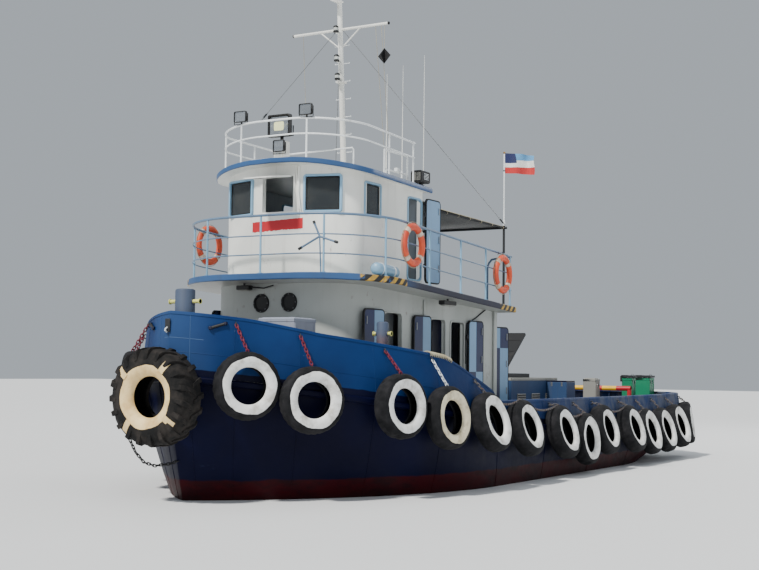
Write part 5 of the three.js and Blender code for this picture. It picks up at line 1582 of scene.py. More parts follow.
def build_lifebuoys():
    for side_name, side in SIDES:
        for name, x, seats in LIFEBUOYS:
            rise, bearing = seats[side]
            shape = Shape()
            rail_y = half_width(BOAT_DECK, x) - 0.07
            y = side * (rail_y + bearing + 0.062 * sin(pi / 3) + 0.001)
            place = moved((x, y, boat_top(x) + rise)) @ turned(pi / 2, "X")
            profile = [(0.3 + 0.06 * cos(a), 0.052 * sin(a)) for a in circle(20)]

            def band(row_number, r, angle):
                return 1.0 if abs((angle % (pi / 2)) - pi / 4) < 0.13 else 0.0
            shape.lathe(profile, 120, "lifebuoy", place, {"band": band})
            for k in range(4):
                angle = pi / 4 + pi / 2 * k
                for shift in (-0.13, 0.13):
                    ring = []
                    for a in circle(16):
                        r = 0.3 + 0.063 * cos(a)
                        ring.append(place @ Vector((r * cos(angle + shift), r * sin(angle + shift),
                                                    0.0545 * sin(a))))
                    shape.pipe(ring, 0.0035, "rope", 6, closed=True)
                arc = []
                for share in around(12):
                    a = angle + pi / 2 * share
                    bow = 0.366 + 0.012 * sin(pi * share)
                    arc.append(place @ Vector((bow * cos(a), bow * sin(a), 0)))
                shape.pipe(arc, 0.005, "rope", 8)
            hook = ((0.01, 0.9), (0.026, 0.95), (0, 0.978), (-0.026, 0.95))
            for lean in (-0.1, 0.1):
                shape.pipe([(x + lean, side * (rail_y + out), boat_top(x) + rise) for out, rise in hook],
                           0.005, "dark", 8)
            shape.piece(f"ring_buoy_{name}_{side_name}",
                        replaces=[f"lifebuoy_{name}_{side_name}"], angle=60)


build_lifebuoys()


def cross_post(name, node, x, y, radius, top, bar_half, bar_radius):
    """A post with a cross bar, a foot flange and four webs"""
    shape = Shape()
    foot, bar_z = deck_z(x), top - 0.19
    profile = [(0.001, foot - 0.02), (radius + 0.09, foot - 0.02), (radius + 0.09, foot + 0.012),
               (radius + 0.004, foot + 0.016), (radius, foot + 0.03), (radius, top - 0.03),
               (radius - 0.008, top - 0.012), (radius - 0.03, top - 0.002), (0.001, top)]
    shape.lathe(profile, 48, "post", moved((x, y, 0)))

    def bar(first, last, thick, paint):
        shape.pipe([(x, y + first, bar_z), (x, y + last, bar_z)], thick, paint, 24)
    bar(-bar_half, bar_half, bar_radius, "pale_yellow")
    for way in (-1, 1):
        bar(way * (bar_half - 0.012), way * bar_half, bar_radius + 0.012, "pale_yellow")
        bar(way * (radius - 0.01), way * (radius + 0.01), bar_radius + 0.014, "rusty")
    web = ((radius * 0.98, 0.18), (radius + 0.085, 0.012), (radius * 0.98, 0.012))
    for k in range(4):
        angle = pi / 4 + pi / 2 * k
        c, s = cos(angle), sin(angle)
        shape.rings([[(x + c * reach - s * shift, y + s * reach + c * shift, foot + rise)
                      for reach, rise in web] for shift in (-0.006, 0.006)], "rusty")
    shape.piece(name, replaces=[node], angle=40)


cross_post("towing_post", "bow_post", 7.88, 0, 0.15, 3.16, 0.29, 0.03)
for side_name, side in SIDES:
    cross_post(f"bitt_{side_name}", f"bollard_{side_name}", 5.45, side * 2.02, 0.095, 2.74, 0.165, 0.028)


# Deck boxes. Columns: piece, node, x from, x to, y from, y to, top, paint, trim paint, slot
BOXES = (
    ("casing", "engine_casing", -4.2, -1.75, -0.95, 0.95, 1.84, "casing", "grey", "grey_paint"),
    ("locker_grey", "tool_locker", -4.90, -4.65, 1.4, 1.7, 1.83, "grey", "grey", "grey_paint"),
    ("locker_green_fore", "green_locker_fore", -6.75, -6.5, 1.65, 1.9, 1.85, "green", "green", "green_paint"),
    ("locker_green_aft", "green_locker_aft", -8.2, -7.85, 1.5, 1.87, 1.85, "green", "green", "green_paint"),
    ("box_foredeck", "foredeck_box", 5.75, 6.35, 0.25, 0.95, 2.78, "lavender", "lavender", "dark_steel"),
)
# Opening in the casing's top: x from, x to, y from, y to
HATCH = (-3.35, -2.05, -0.65, 0.65)
CASING_HINGE = (-2.01, 0, 1.96)
# Chest on the casing's port side: x from, x to, y from, y to, top
CHEST = (-4.1, -3.6, 0.956, 1.43, 1.78)


def lid_hinge(y0, top):
    """Where the hinge pin of a green locker's lid lies, across and up"""
    return y0 - 0.026, top + 0.03


def open_box(shape, x, y, low, high, wall, paint):
    """Four walls with softened rims around a hollow"""
    def corners(by):
        west, east, south, north = x[0] + by, x[1] - by, y[0] + by, y[1] - by
        return [(west, south), (east, south), (east, north), (west, north)]
    outer, within = corners(0), corners(wall)
    loops = [(outer, low), (outer, high - 0.006), (within, high), (within, high - 0.012), (within, low)]
    shape.rings(levels(loops), paint, caps=False, loop=True)


def casing_parts(shape, x0, x1, y0, y1, foot, top, paint, trim):
    """The engine casing's walls, hatch, block inside, side louvres, hinge lugs and chest"""
    open_box(shape, (x0, x1), (y0, y1), foot, top - 0.02, 0.01, paint)
    hx0, hx1, hy0, hy1 = HATCH
    for ax, bx, ay, by in ((x0, hx0, y0, y1), (hx1, x1, y0, y1), (hx0, hx1, y0, hy0), (hx0, hx1, hy1, y1)):
        shape.box((bx - ax, by - ay, 0.02), ((ax + bx) / 2, (ay + by) / 2, top - 0.01), trim, edge=0.0)
    open_box(shape, (hx0, hx1), (hy0, hy1), top - 0.05, top + 0.09, 0.05, "dark")
    shape.box((1.2, 1.2, 0.5), (-2.7, 0, 1.25), "dark", edge=0.05)
    for bank in (-0.28, 0.28):
        shape.box((0.9, 0.24, 0.18), (-2.7, bank, 1.55), "rusty", edge=0.03)
    for side in (-1, 1):
        for k in range(3):
            x, y, z = x0 + 0.45 + 0.75 * k, side * 0.956, foot + 0.5
            shape.box((0.42, 0.02, 0.3), (x, y, z), trim, edge=0.004)
            for j in range(6):
                shape.box((0.38, 0.016, 0.02), (x, y + side * 0.012, z - 0.12 + 0.048 * j), "dark", edge=0.002)
    for barrel in (-0.408, 0.408):
        for end in (-0.048, 0.048):
            shape.box((0.04, 0.022, 0.15), (CASING_HINGE[0], barrel + end, top + 0.065), "dark", edge=0.004)
    x0, x1, y0, y1, top = CHEST
    x, y, lid_z = (x0 + x1) / 2, (y0 + y1) / 2, top - 0.03
    shape.box((x1 - x0, y1 - y0, lid_z - foot), (x, y, (lid_z + foot) / 2), "casing", edge=0.01)
    panel(shape, (x1 - x0 - 0.004, y1 - y0 - 0.004), 0.02, 0.03, "navy", moved((x, y, lid_z)))
    for across in (-0.12, 0.12):
        shape.box((0.012, 0.04, 0.09), (x1 - 0.004, y + across, top - 0.08), "steel", edge=0.003)


def build_boxes():
    foot = 0.85
    for name, node, x0, x1, y0, y1, top, paint, trim, slot in BOXES:
        shape = Shape()
        x, y = (x0 + x1) / 2, (y0 + y1) / 2
        long, wide, tall = x1 - x0, y1 - y0, top - foot
        if name == "casing":
            casing_parts(shape, x0, x1, y0, y1, foot, top, paint, trim)
        else:
            shape.box((long, wide, tall), (x, y, (top + foot) / 2), paint, edge=0.012)
        for z in (foot + 0.06, top - 0.035):
            for side in (-1, 1):
                shape.box((long + 0.012, 0.012, 0.05), (x, y + side * (wide / 2), z), trim, edge=0.003)
                shape.box((0.012, wide + 0.012, 0.05), (x + side * (long / 2), y, z), trim, edge=0.003)
        ribs = max(int(long / 0.45), 1)
        for side in (-1, 1):
            if name == "casing":
                break
            for k in range(ribs + 1):
                at = (x0 + 0.03 + (long - 0.06) * k / ribs, y + side * (wide / 2 + 0.001), (top + foot) / 2)
                shape.box((0.03, 0.014, tall - 0.12), at, trim, edge=0.003)
        if name == "box_foredeck":
            for k in range(5):
                shape.box((0.03, wide - 0.06, 0.02), (x0 + 0.08 + 0.11 * k, y, top), trim, edge=0.004)
        if name == "locker_grey":
            panel(shape, (long - 0.04, wide - 0.04), 0.03, 0.02, trim, moved((x, y, top - 0.006)))
            grip = ((-0.08, 0.006), (-0.08, 0.04), (0.08, 0.04), (0.08, 0.006))
            shape.pipe([(x + a, y1 + out, top - 0.14) for a, out in grip], 0.007, "steel", 8)
        if slot == "green_paint":
            hinge_y, hinge_z = lid_hinge(y0, top)
            barrel = (long + 0.05) * 0.3
            for a in (-barrel, barrel):
                for end in (-0.046, 0.046):
                    shape.box((0.02, 0.038, 0.135), (x + a + end, hinge_y + 0.007, hinge_z - 0.0525), "dark",
                              edge=0.003)
            for a in (-0.07, 0.07):
                shape.box((0.025, 0.02, 0.08), (x + a, y1 + 0.009, top - 0.1), "steel", edge=0.003)
        shape.piece(name, replaces=[node], angle=30)


build_boxes()


def lid(name, body, node, hinge, turns, length, width, paint):
    """A lid that reaches from its hinge barrels along local X, with a turned-down rim and ribs"""
    shape = Shape()
    place = moved(hinge) @ turns
    under = -0.024
    upper = under + 0.05
    x = length / 2 + 0.0325
    long = length - 0.005
    shape.rings([[(x + u, v, w) for u, v in rounded(long - 2 * s, width - 2 * s, 0.03)]
                 for s, w in ((0.003, under), (0, under + 0.004), (0, upper - 0.006), (0.006, upper))],
                paint, place=place)
    for k in range(3):
        rib_x = x + (k - 1) * long * 0.3
        shape.box((0.03, width - 0.08, 0.008), (rib_x, 0, upper + 0.002), paint, edge=0.002, place=place)
        shape.box((0.03, width - 0.2, 0.008), (rib_x, 0, under), paint, edge=0.002, place=place)
    for y in (-width * 0.3, width * 0.3):
        shape.pipe([(0, y - 0.03, 0), (0, y + 0.03, 0)], 0.02, "dark", 20, place=place)
        shape.box((0.1, 0.05, 0.014), (0.055, y, upper + 0.004), "dark", edge=0.003, place=place)
        shape.box((0.07, 0.05, upper), (0.04, y, upper / 2), "dark", edge=0.004, place=place)
    grip_x = x + long / 2 - 0.06
    grip = ((-0.06, 0), (-0.06, 0.03), (0.06, 0.03), (0.06, 0))
    shape.pipe([(grip_x, y, upper + rise) for y, rise in grip], 0.007, "steel", 8, place=place)
    shape.piece(name, body=body, replaces=[node], angle=30)


lid("hatch_lid", "casing_lid", "casing_lid", CASING_HINGE, turned(radians(38), "Y") @ turned(pi, "Z"),
    1.34, 1.36, "black")
# Lids of the two green lockers
for name, node, x0, x1, y0, y1, top, *looks in BOXES[2:4]:
    end = name.split("_")[-1]
    lid(f"green_lid_{end}", f"locker_lid_{end}", f"{node}_lid", ((x0 + x1) / 2, *lid_hinge(y0, top)),
        turned(pi / 2, "Z"), y1 - y0 + 0.021, x1 - x0 + 0.05, "dark")


def build_tow_beam():
    shape = Shape()
    x, z, half, bands = -5.5, 1.61, 2.23, 13
    for k in range(bands):
        start, end = (lerp(-half, half, step / bands) for step in (k, k + 1))
        shape.pipe([(x, start, z), (x, end, z)], 0.055, "yellow" if k % 2 else "red", 28)
    for side in (-1, 1):
        y = side * (half - 0.04)
        shape.post(x, y, deck_z(x), z, 0.05, "red", 24)
        shape.post(x, y, deck_z(x), deck_z(x) + 0.014, 0.1, "rusty", 28)
        shape.pipe([(x, side * (half - 0.002), z), (x, side * half, z)], 0.058, "red", 28)
    shape.piece("tow_beam", replaces=["towing_beam"], angle=50)


build_tow_beam()


def build_stern_gear():
    """Propeller with its shaft, and rudder"""
    shape = Shape()
    # Blade. Columns: radius, chord, pitch in degrees, thickness
    sections = (
        (0.095, 0.25, 62, 0.062), (0.23, 0.36, 45, 0.044), (0.38, 0.42, 33, 0.028), (0.50, 0.33, 27, 0.018),
        (0.545, 0.23, 25.6, 0.014), (0.558, 0.12, 25.1, 0.012),
    )
    for k in range(4):
        rings = []
        for step in range((len(sections) - 1) * 5 + 1):
            radius, chord, pitch, thick = [eased([row[c] for row in sections], step / 5) for c in range(4)]
            angle = radians(pitch)
            ring = []
            for a in circle(24):
                u = 0.5 * cos(a)
                v = 0.5 * sin(a) * (1 - 0.35 * cos(a)) * (1 if sin(a) > 0 else 0.35)
                ring.append((u * chord * sin(angle) + v * thick * cos(angle),
                             u * chord * cos(angle) - v * thick * sin(angle), radius))
            rings.append(ring)
        shape.rings(rings, "bronze", place=moved(SCREW_AT) @ turned(pi / 2 * k, "X"))
    place = moved(SCREW_AT) @ turned(pi / 2, "Y")
    # Hub and shaft. Columns: radius, distance forward of the blades
    hub = [
        (0.001, -0.27), (0.028, -0.268), (0.062, -0.235), (0.088, -0.17), (0.094, -0.165), (0.104, -0.05),
        (0.112, 0.1), (0.117, 0.165), (0.112, 0.17), (0.055, 0.172), (0.055, 0.899), (0.001, 0.899),
    ]
    shape.lathe(hub, 48, "bronze", place)
    shape.piece("screw", body="propeller", replaces=["propeller"], angle=50)
    blade = Shape()
    foot, head = -1.95, -0.73
    rings = []
    rows = 8
    for k in range(rows + 1):
        z = lerp(foot, head, k / rows)
        soft = 0.35 if k in (0, rows) else 1
        ring = []
        for a in circle(40):
            share = (1 + cos(a)) / 2
            along = lerp(-0.64, 0.17, share)
            half = 0.055 * sin(pi * share ** 0.62) ** 0.8 if 0 < share < 1 else 0.0
            half = max(half, 0.006) * soft
            ring.append((along, half if sin(a) >= 0 else -half, z))
        rings.append(ring)
    place = moved((RUDDER_X, 0, 0))
    blade.rings(rings, "hull", place=place)
    for z in (-1.7, -1.35, -1.0):
        blade.box((0.62, 0.118, 0.02), (-0.22, 0, z), "hull", edge=0.008, place=place)
    blade.post(0, 0, foot + 0.2, -0.6905, 0.05, "steel", 24, place=place)
    blade.post(0, 0, foot, -1.84, 0.062, "hull", 28, place=place)
    blade.post(0, 0, -0.78, -0.73, 0.075, "hull", 28, place=place)
    blade.piece("rudder_blade", body="rudder", replaces=["rudder"], angle=40)


build_stern_gear()

# Side tyres. Columns: x of the centre on the deck edge, height, tilt and turn in degrees, tread (0 plain,
# 1 lugs), radius to which the face is painted
TYRES = (
    (7.655, 1.715, 2, 15, 0, 0.413), (6.975, 1.51, 3, 9, 0, 0.418), (5.755, 1.415, 4, 11, 1, 0.411),
    (4.80, 1.22, 6, 5, 0, 0.417), (3.51, 1.09, 17, 0, 0, 0.42), (2.115, 0.945, 17, 0, 0, 0.385),
    (0.40, 0.82, 16, 0, 0, 0.39), (-0.80, 0.665, 7, 0, 1, 0.41), (-1.82, 0.79, 15, 0, 0, 0.38),
    (-3.36, 0.75, 17, 0, 0, 0.39), (-4.45, 0.66, 16, 0, 0, 0.42), (-5.50, 0.66, 16, 0, 1, 0.41),
    (-6.51, 0.715, 17, 0, 0, 0.42), (-7.54, 0.775, 8, 0, 0, 0.36),
)
# Tyres with a cream ring, how many chains from the bow are red, and which chain is pale
CREAM_TYRES = (3,)
RED_CHAINS = 3
PALE_CHAIN = 3
TYRE_WIDTH = 0.285
# Pairs of neighbouring tyres with a slack chain between them, by the number of the first
LINKED_TYRES = (4, 5, 6, 8, 9)
# Radius, and height as a share of the width, round the carcass: outer skin first, then the hollow's
CARCASS = (
    (0.272, 0.80), (0.283, 0.90), (0.31, 0.97), (0.36, 0.995), (0.405, 1.0), (0.445, 0.976), (0.475, 0.912),
    (0.494, 0.82),
    (0.502, 0.68), (0.505, 0.58), (0.505, 0.42), (0.502, 0.32), (0.494, 0.18), (0.475, 0.088), (0.445, 0.024),
    (0.405, 0.0), (0.365, 0.012), (0.325, 0.068), (0.283, 0.18), (0.272, 0.24), (0.29, 0.30), (0.34, 0.20),
    (0.40, 0.12), (0.45, 0.18), (0.472, 0.36), (0.472, 0.64), (0.45, 0.82), (0.40, 0.88), (0.34, 0.80),
    (0.29, 0.70), (0.272, 0.74),
)
TYRE_RADIUS = 0.505
# Points of the carcass up to which the outer face runs, and first and last point of the hollow
OUTER_FACE = 8
HOLLOW = (20, 29)
STRAKE_OUT = 0.06
# Section of the rubbing strake: way out from the deck edge, way down from the deck
STRAKE = ((0.0003, 0.0), (0.05, 0.012), (0.0595, 0.026), (STRAKE_OUT, 0.04), (STRAKE_OUT, 0.07),
          (0.0595, 0.084), (0.05, 0.098), (0.0003, 0.11))


def edge_at(x, side):
    """y of the deck edge, heading of its outward normal, and how far the edge curves away at a tyre's ends"""
    step = 0.02
    y = half_breadth(DECK, x)
    slope = (half_breadth(DECK, x + step) - half_breadth(DECK, x - step)) / (2 * step)
    heading = atan2(1, -slope)
    reach = 0.75 * TYRE_RADIUS
    away = []
    for way in (1, -1):
        far_x = x + way * reach * sin(heading)
        far_y = half_breadth(DECK, far_x)
        away.append((x - far_x) * cos(heading) + (y - far_y) * sin(heading))
    return side * y, side * heading, min(max(sum(away) / 2, 0), 0.065)


def tyre_place(x, z, tilt, yaw, side):
    """Where a tyre hangs: its local Z points outboard from its back face, its local -Y up"""
    y, heading, hollow = edge_at(x, side)
    yaw = radians(yaw)
    out = max(0.038, 0.4 * tan(radians(tilt)) - 0.051) - hollow + 0.11 * sin(yaw)
    turn = turned(heading + side * yaw - pi / 2, "Z") @ turned(radians(tilt), "X")
    at = moved((x + out * cos(heading), y + out * sin(heading), z))
    return at @ turn @ turned(-pi / 2, "X")


def pressed(point, side):
    """A point of a tyre, moved out to the face of the strake or bulwark where it would pass through"""
    level = deck_z(point.x)
    if not -8.6 < point.x < 8.2 or not level - 0.11 < point.z < rail_z(point.x):
        return point
    y, heading, _ = edge_at(point.x, side)
    face = STRAKE_OUT if point.z < level else -lean_at(point.x) * (point.z - level)
    limit = abs(y) + (face + 0.002) / max(sin(abs(heading)), 0.5)
    return Vector((point.x, side * max(side * point.y, limit), point.z))


def chain(shape, points, link, wire, paint):
    """Links along a path, each turned a quarter from the one before"""
    points = [Vector(p) for p in points]
    lengths = [(b - a).length for a, b in zip(points, points[1:])]
    total = sum(lengths)
    count = max(round(total / (link * 0.72)), 1)
    for k in range(count):
        run = total * (k + 0.5) / count
        i = 0
        while i < len(lengths) - 1 and run > lengths[i]:
            run -= lengths[i]
            i += 1
        way = (points[i + 1] - points[i]).normalized()
        at = points[i] + way * run
        side = way.cross(Vector((0.3, 0.2, 0.93))).normalized()
        if k % 2:
            side = way.cross(side)
        half = link / 2 - link * 0.28
        loop = []
        for a in circle(12):
            loop.append(at + way * (half * (1 if cos(a) > 0 else -1) + link * 0.26 * cos(a))
                        + side * (link * 0.26 * sin(a)))
        shape.pipe(loop, wire, paint, 6, closed=True)


def build_tyres():
    for side_name, side in SIDES:
        strake = Shape()
        rings = []
        for t in around(140):
            here, _, inboard = edge_frame(t, side)
            rings.append([Vector((here.x - inboard.x * out,
                                  side * max(side * (here.y - inboard.y * out), 0.0002), here.z - down))
                          for out, down in STRAKE])
        strake.rings(rings, "hull")
        strake.piece(f"rubbing_strake_{side_name}", angle=35)
        row = Shape()
        links = Shape()
        crowns = []
        for number, (x, z, tilt, yaw, tread, painted_to) in enumerate(TYRES):
            place = tyre_place(x, z, tilt, yaw, side)
            phase = random.Random(number * 2 + (side > 0)).random() * 6

            def ring(row_number, r, angle):
                wander = 0.012 * sin(5 * angle + phase) + 0.008 * sin(9 * angle)
                return r / painted_to + wander

            def face(row_number, r, angle):
                return 1.0 if row_number < OUTER_FACE else 0.0

            # 1 in the hollow, where the rubber is darkened as painted shade
            def inner(row_number, r, angle):
                return 1.0 if HOLLOW[0] <= row_number <= HOLLOW[1] else 0.0

            def tone(row_number, r, angle):
                return 1.0 if number in CREAM_TYRES else 0.0

            def tread_cut(r, a, i):
                if r < 0.49:
                    return r
                half = 1 if a > TYRE_WIDTH / 2 else 0
                if tread:
                    return r - 0.022 if (i + 3 * half) % 6 < 2 else r
                return r - 0.008 if (i + half) % 3 == 0 else r
            first = len(row.verts)
            row.lathe([(r, a * TYRE_WIDTH) for r, a in CARCASS], 84, "tyre", place,
                      {"ring": ring, "face": face, "inner": inner, "tone": tone}, spin=tread_cut)
            for index in range(first, len(row.verts)):
                row.verts[index] = pressed(row.verts[index], side)
            _, heading, _ = edge_at(x, side)
            crown = place @ Vector((0, -0.512, TYRE_WIDTH * 0.55))
            crowns.append(crown)
            t = station_of(x + 0.08)
            outward = Vector((cos(heading), sin(heading), 0))
            hook = bulwark_at(t, side, rail_z(x + 0.08) - 0.11) + outward * 0.035
            paint = "red_chain" if number < RED_CHAINS else "rail_white" if number == PALE_CHAIN else "chain"
            down = place @ Vector((0, -0.47, TYRE_WIDTH * 0.55))
            chain(links, [hook, crown, down], 0.078, 0.0085, paint)
            eye = [hook + outward * -0.02 + Vector((0, 0, 0.03)) * cos(a) + outward * (0.03 * sin(a))
                   for a in circle(12)]
            links.pipe(eye, 0.01, "dark", 8, closed=True)
        for number in LINKED_TYRES:
            start, end = crowns[number], crowns[number + 1]
            sway = [lerp(start, end, k / 10) + Vector((0, side * 0.03, -0.14 * sin(pi * k / 10)))
                    for k in range(11)]
            chain(links, sway, 0.06, 0.0065, "chain")
        row.piece(f"tyre_row_{side_name}", replaces=[f"tyre_fenders_{side_name}"], angle=40)
        links.piece(f"tyre_chains_{side_name}", angle=60)


build_tyres()


# Bow tyre: x of its back face, height of its middle, width, lugs on each half of the tread, and the
# radius to which its face is painted
BOW_X = 8.235
BOW_Z = 1.55
BOW_WIDTH = 0.52
BOW_LUGS = 19
BOW_PAINTED = 0.462


def build_bow_tyre():
    shape = Shape()
    # Section. Columns: radius, distance ahead of the tyre's back face as a share of its width
    profile = [
        (0.31, 0.84), (0.34, 0.91), (0.40, 0.975), (0.46, 1.0), (0.52, 0.995), (0.59, 0.96), (0.65, 0.90),
        (0.69, 0.83), (0.700, 0.72), (0.704, 0.50), (0.700, 0.28), (0.69, 0.17), (0.65, 0.10), (0.59, 0.04),
        (0.52, 0.004), (0.46, 0.0), (0.40, 0.025), (0.34, 0.07), (0.31, 0.11), (0.30, 0.16), (0.32, 0.24),
        (0.38, 0.16), (0.48, 0.10), (0.60, 0.14), (0.665, 0.28), (0.67, 0.50), (0.665, 0.72), (0.60, 0.86),
        (0.48, 0.90), (0.38, 0.84), (0.32, 0.75), (0.30, 0.77),
    ]
    profile = [(r, share * BOW_WIDTH) for r, share in profile]
    place = moved((BOW_X, 0, BOW_Z)) @ turned(pi / 2, "Y")

    def ring(row_number, r, angle):
        return r / BOW_PAINTED + 0.016 * sin(6 * angle)

    def face(row_number, r, angle):
        return 1.0 if row_number < 8 or row_number == len(profile) - 1 else 0.0

    # 1 in the hollow, where the rubber is darkened as painted shade
    def inner(row_number, r, angle):
        return 1.0 if 20 <= row_number < len(profile) - 2 else 0.0
    shape.lathe(profile, 120, "bow_tyre", place, {"ring": ring, "face": face, "inner": inner})
    # Each lug runs from the middle of the tread over the shoulder. Columns: share of the width out from the
    # middle, radius of its foot, its height, angle turned on, half width
    route = (
        (-0.03, 0.700, 0.034, 0.0, 0.030), (0.10, 0.703, 0.038, 0.045, 0.036),
        (0.24, 0.703, 0.037, 0.09, 0.038), (0.35, 0.690, 0.042, 0.125, 0.040),
        (0.42, 0.655, 0.046, 0.15, 0.042), (0.465, 0.60, 0.026, 0.165, 0.036), (0.485, 0.56, 0.012, 0.175, 0.028),
    )
    for i in range(2 * BOW_LUGS):
        way = 1 if i % 2 == 0 else -1
        start = pi * (i + 0.5) / BOW_LUGS
        rings = []
        for share, foot, rise, turn, half in route:
            angle = start + turn
            out = Vector((0, cos(angle), sin(angle)))
            over = Vector((0, -sin(angle), cos(angle)))
            lift = out * rise if share < 0.3 else (out * 0.7 + Vector((way * 0.7, 0, 0))) * rise
            if share > 0.44:
                lift = Vector((way * rise * 0.5, 0, 0)) + out * rise * 0.3
            base = Vector((BOW_X + BOW_WIDTH * (0.5 + way * share), 0, BOW_Z)) + out * (foot - 0.012)
            crown = over * (half * 0.8)
            rings.append([base - over * half, base - crown + lift, base + crown + lift, base + over * half])
        shape.rings(rings, "bow_tyre")
    shape.piece("bow_fender_tyre", replaces=["bow_tyre"], angle=40)
    straps = Shape()
    for k in range(4):
        angle = pi / 4 + pi / 2 * k + 0.12
        c, s = cos(angle), sin(angle)
        # Columns: radius and distance ahead of the tyre's back face
        route = ((0.455, 0.995), (0.49, 0.998), (0.53, 0.985), (0.57, 0.962), (0.61, 0.93), (0.645, 0.895))
        rings = []
        for r, share in route:
            point = Vector((BOW_X + share * BOW_WIDTH, r * c, BOW_Z + r * s))
            across = Vector((0, -s, c)) * 0.047
            lift = Vector((0.012, 0, 0))
            rings.append([point - across, point + across, point + across + lift, point - across + lift])
        straps.rings(rings, "cream")
    straps.piece("bow_tyre_straps", angle=60)
    links = Shape()
    hanging = [
        (8.60, -0.395, 0.93), (8.56, -0.31, 0.74), (8.47, -0.22, 0.59), (8.3, -0.16, 0.535), (8.1, -0.03, 0.56),
        (7.97, 0.01, 0.6),
    ]
    chain(links, hanging, 0.07, 0.009, "black")
    links.piece("bow_chains", angle=60)


build_bow_tyre()


def build_windows():
    frames = Shape()
    panes = Shape()
    # Windows. Columns: centre x, y, heading in degrees, width, bottom, top, frame paint, sash hangs open
    rows = [(5.502, 0.0, 0, 0.67, 4.56, 5.20, "upper_white", True)]
    for x, y, width, heading, low, high in FRONT_WINDOWS[1:]:
        front = front_x(WHEELHOUSE, y)
        rows.append((front - 0.012, y, copysign(17, y), width + 0.04, low, high, "blue", False))
    for side in BOTH:
        x, width, low, high = SIDE_WINDOW
        rows.append((x + 0.02, side * 1.352, side * 90, width + 0.1, low, high, "blue", False))
        y, width, low, high = AFT_WINDOW
        rows.append((2.948, side * y, 180, width, low, high, "blue", False))
    for x, y, heading, width, low, high, paint, hangs in rows:
        place = upright((x, y, (low + high) / 2), radians(heading)) @ moved((0, 0, 0.016))
        size = (width - 0.05, high - low - 0.05)
        frame_ring(frames, size, 0.038, 0.075, 0.014, paint, place)
        if hangs:
            hinge = place @ moved((0, size[1] / 2, 0.012)) @ turned(radians(-82), "X")
            sash = hinge @ moved((0, -size[1] / 2, 0))
            frame_ring(frames, (size[0] - 0.06, size[1] - 0.06), 0.03, 0.022, 0.04, paint, sash)
            panel(panes, (size[0] - 0.05, size[1] - 0.05), 0.04, 0.006, "glass", sash @ moved((0, 0, -0.014)))
        else:
            frame_ring(frames, (size[0] - 0.05, size[1] - 0.05), 0.02, 0.02, 0.012, "rubber",
                       place @ moved((0, 0, -0.03)), 0.002)
            panel(panes, (size[0] - 0.02, size[1] - 0.02), 0.045, 0.006, "glass",
                  place @ moved((0, 0, -0.044)))
    frames.piece("window_frames", angle=35)
    panes.piece("window_panes", angle=35)


build_windows()


def build_inside():
    """Console with its instruments, steering wheel and seat"""
    shape = Shape()
    floor = boat_top(5.0)
    outline = [(4.95, floor), (5.35, floor), (5.35, floor + 0.95), (4.98, floor + 0.85), (4.9, floor + 0.8)]
    shape.rings([[(x, y, z) for x, z in outline] for y in (-0.8, 0.8)], "inside")
    for k in range(5):
        shape.box((0.16, 0.2, 0.03), (5.12, -0.6 + 0.3 * k, floor + 0.905), "black", edge=0.006)
    place = moved((4.84, 0, floor + 0.95)) @ turned(radians(70), "Y")
    shape.lathe([(0.27 + 0.016 * cos(a), 0.016 * sin(a)) for a in circle(12)], 48, "black", place)
    for a in circle(6):
        shape.pipe([(0, 0, 0), (0.33 * cos(a), 0.33 * sin(a), 0)], 0.011, "bronze", 8, place=place)
    shape.lathe([(0.001, -0.06), (0.05, -0.06), (0.05, 0.02), (0.001, 0.03)], 24, "bronze", place)
    shape.box((0.5, 0.5, 0.08), (4.1, 0, floor + 0.62), "black", edge=0.03)
    shape.box((0.1, 0.5, 0.6), (3.86, 0, floor + 0.95), "black", edge=0.03)
    shape.post(4.1, 0, floor - 0.04, floor + 0.6, 0.05, "dark", 16)
    shape.piece("helm", angle=35)


build_inside()


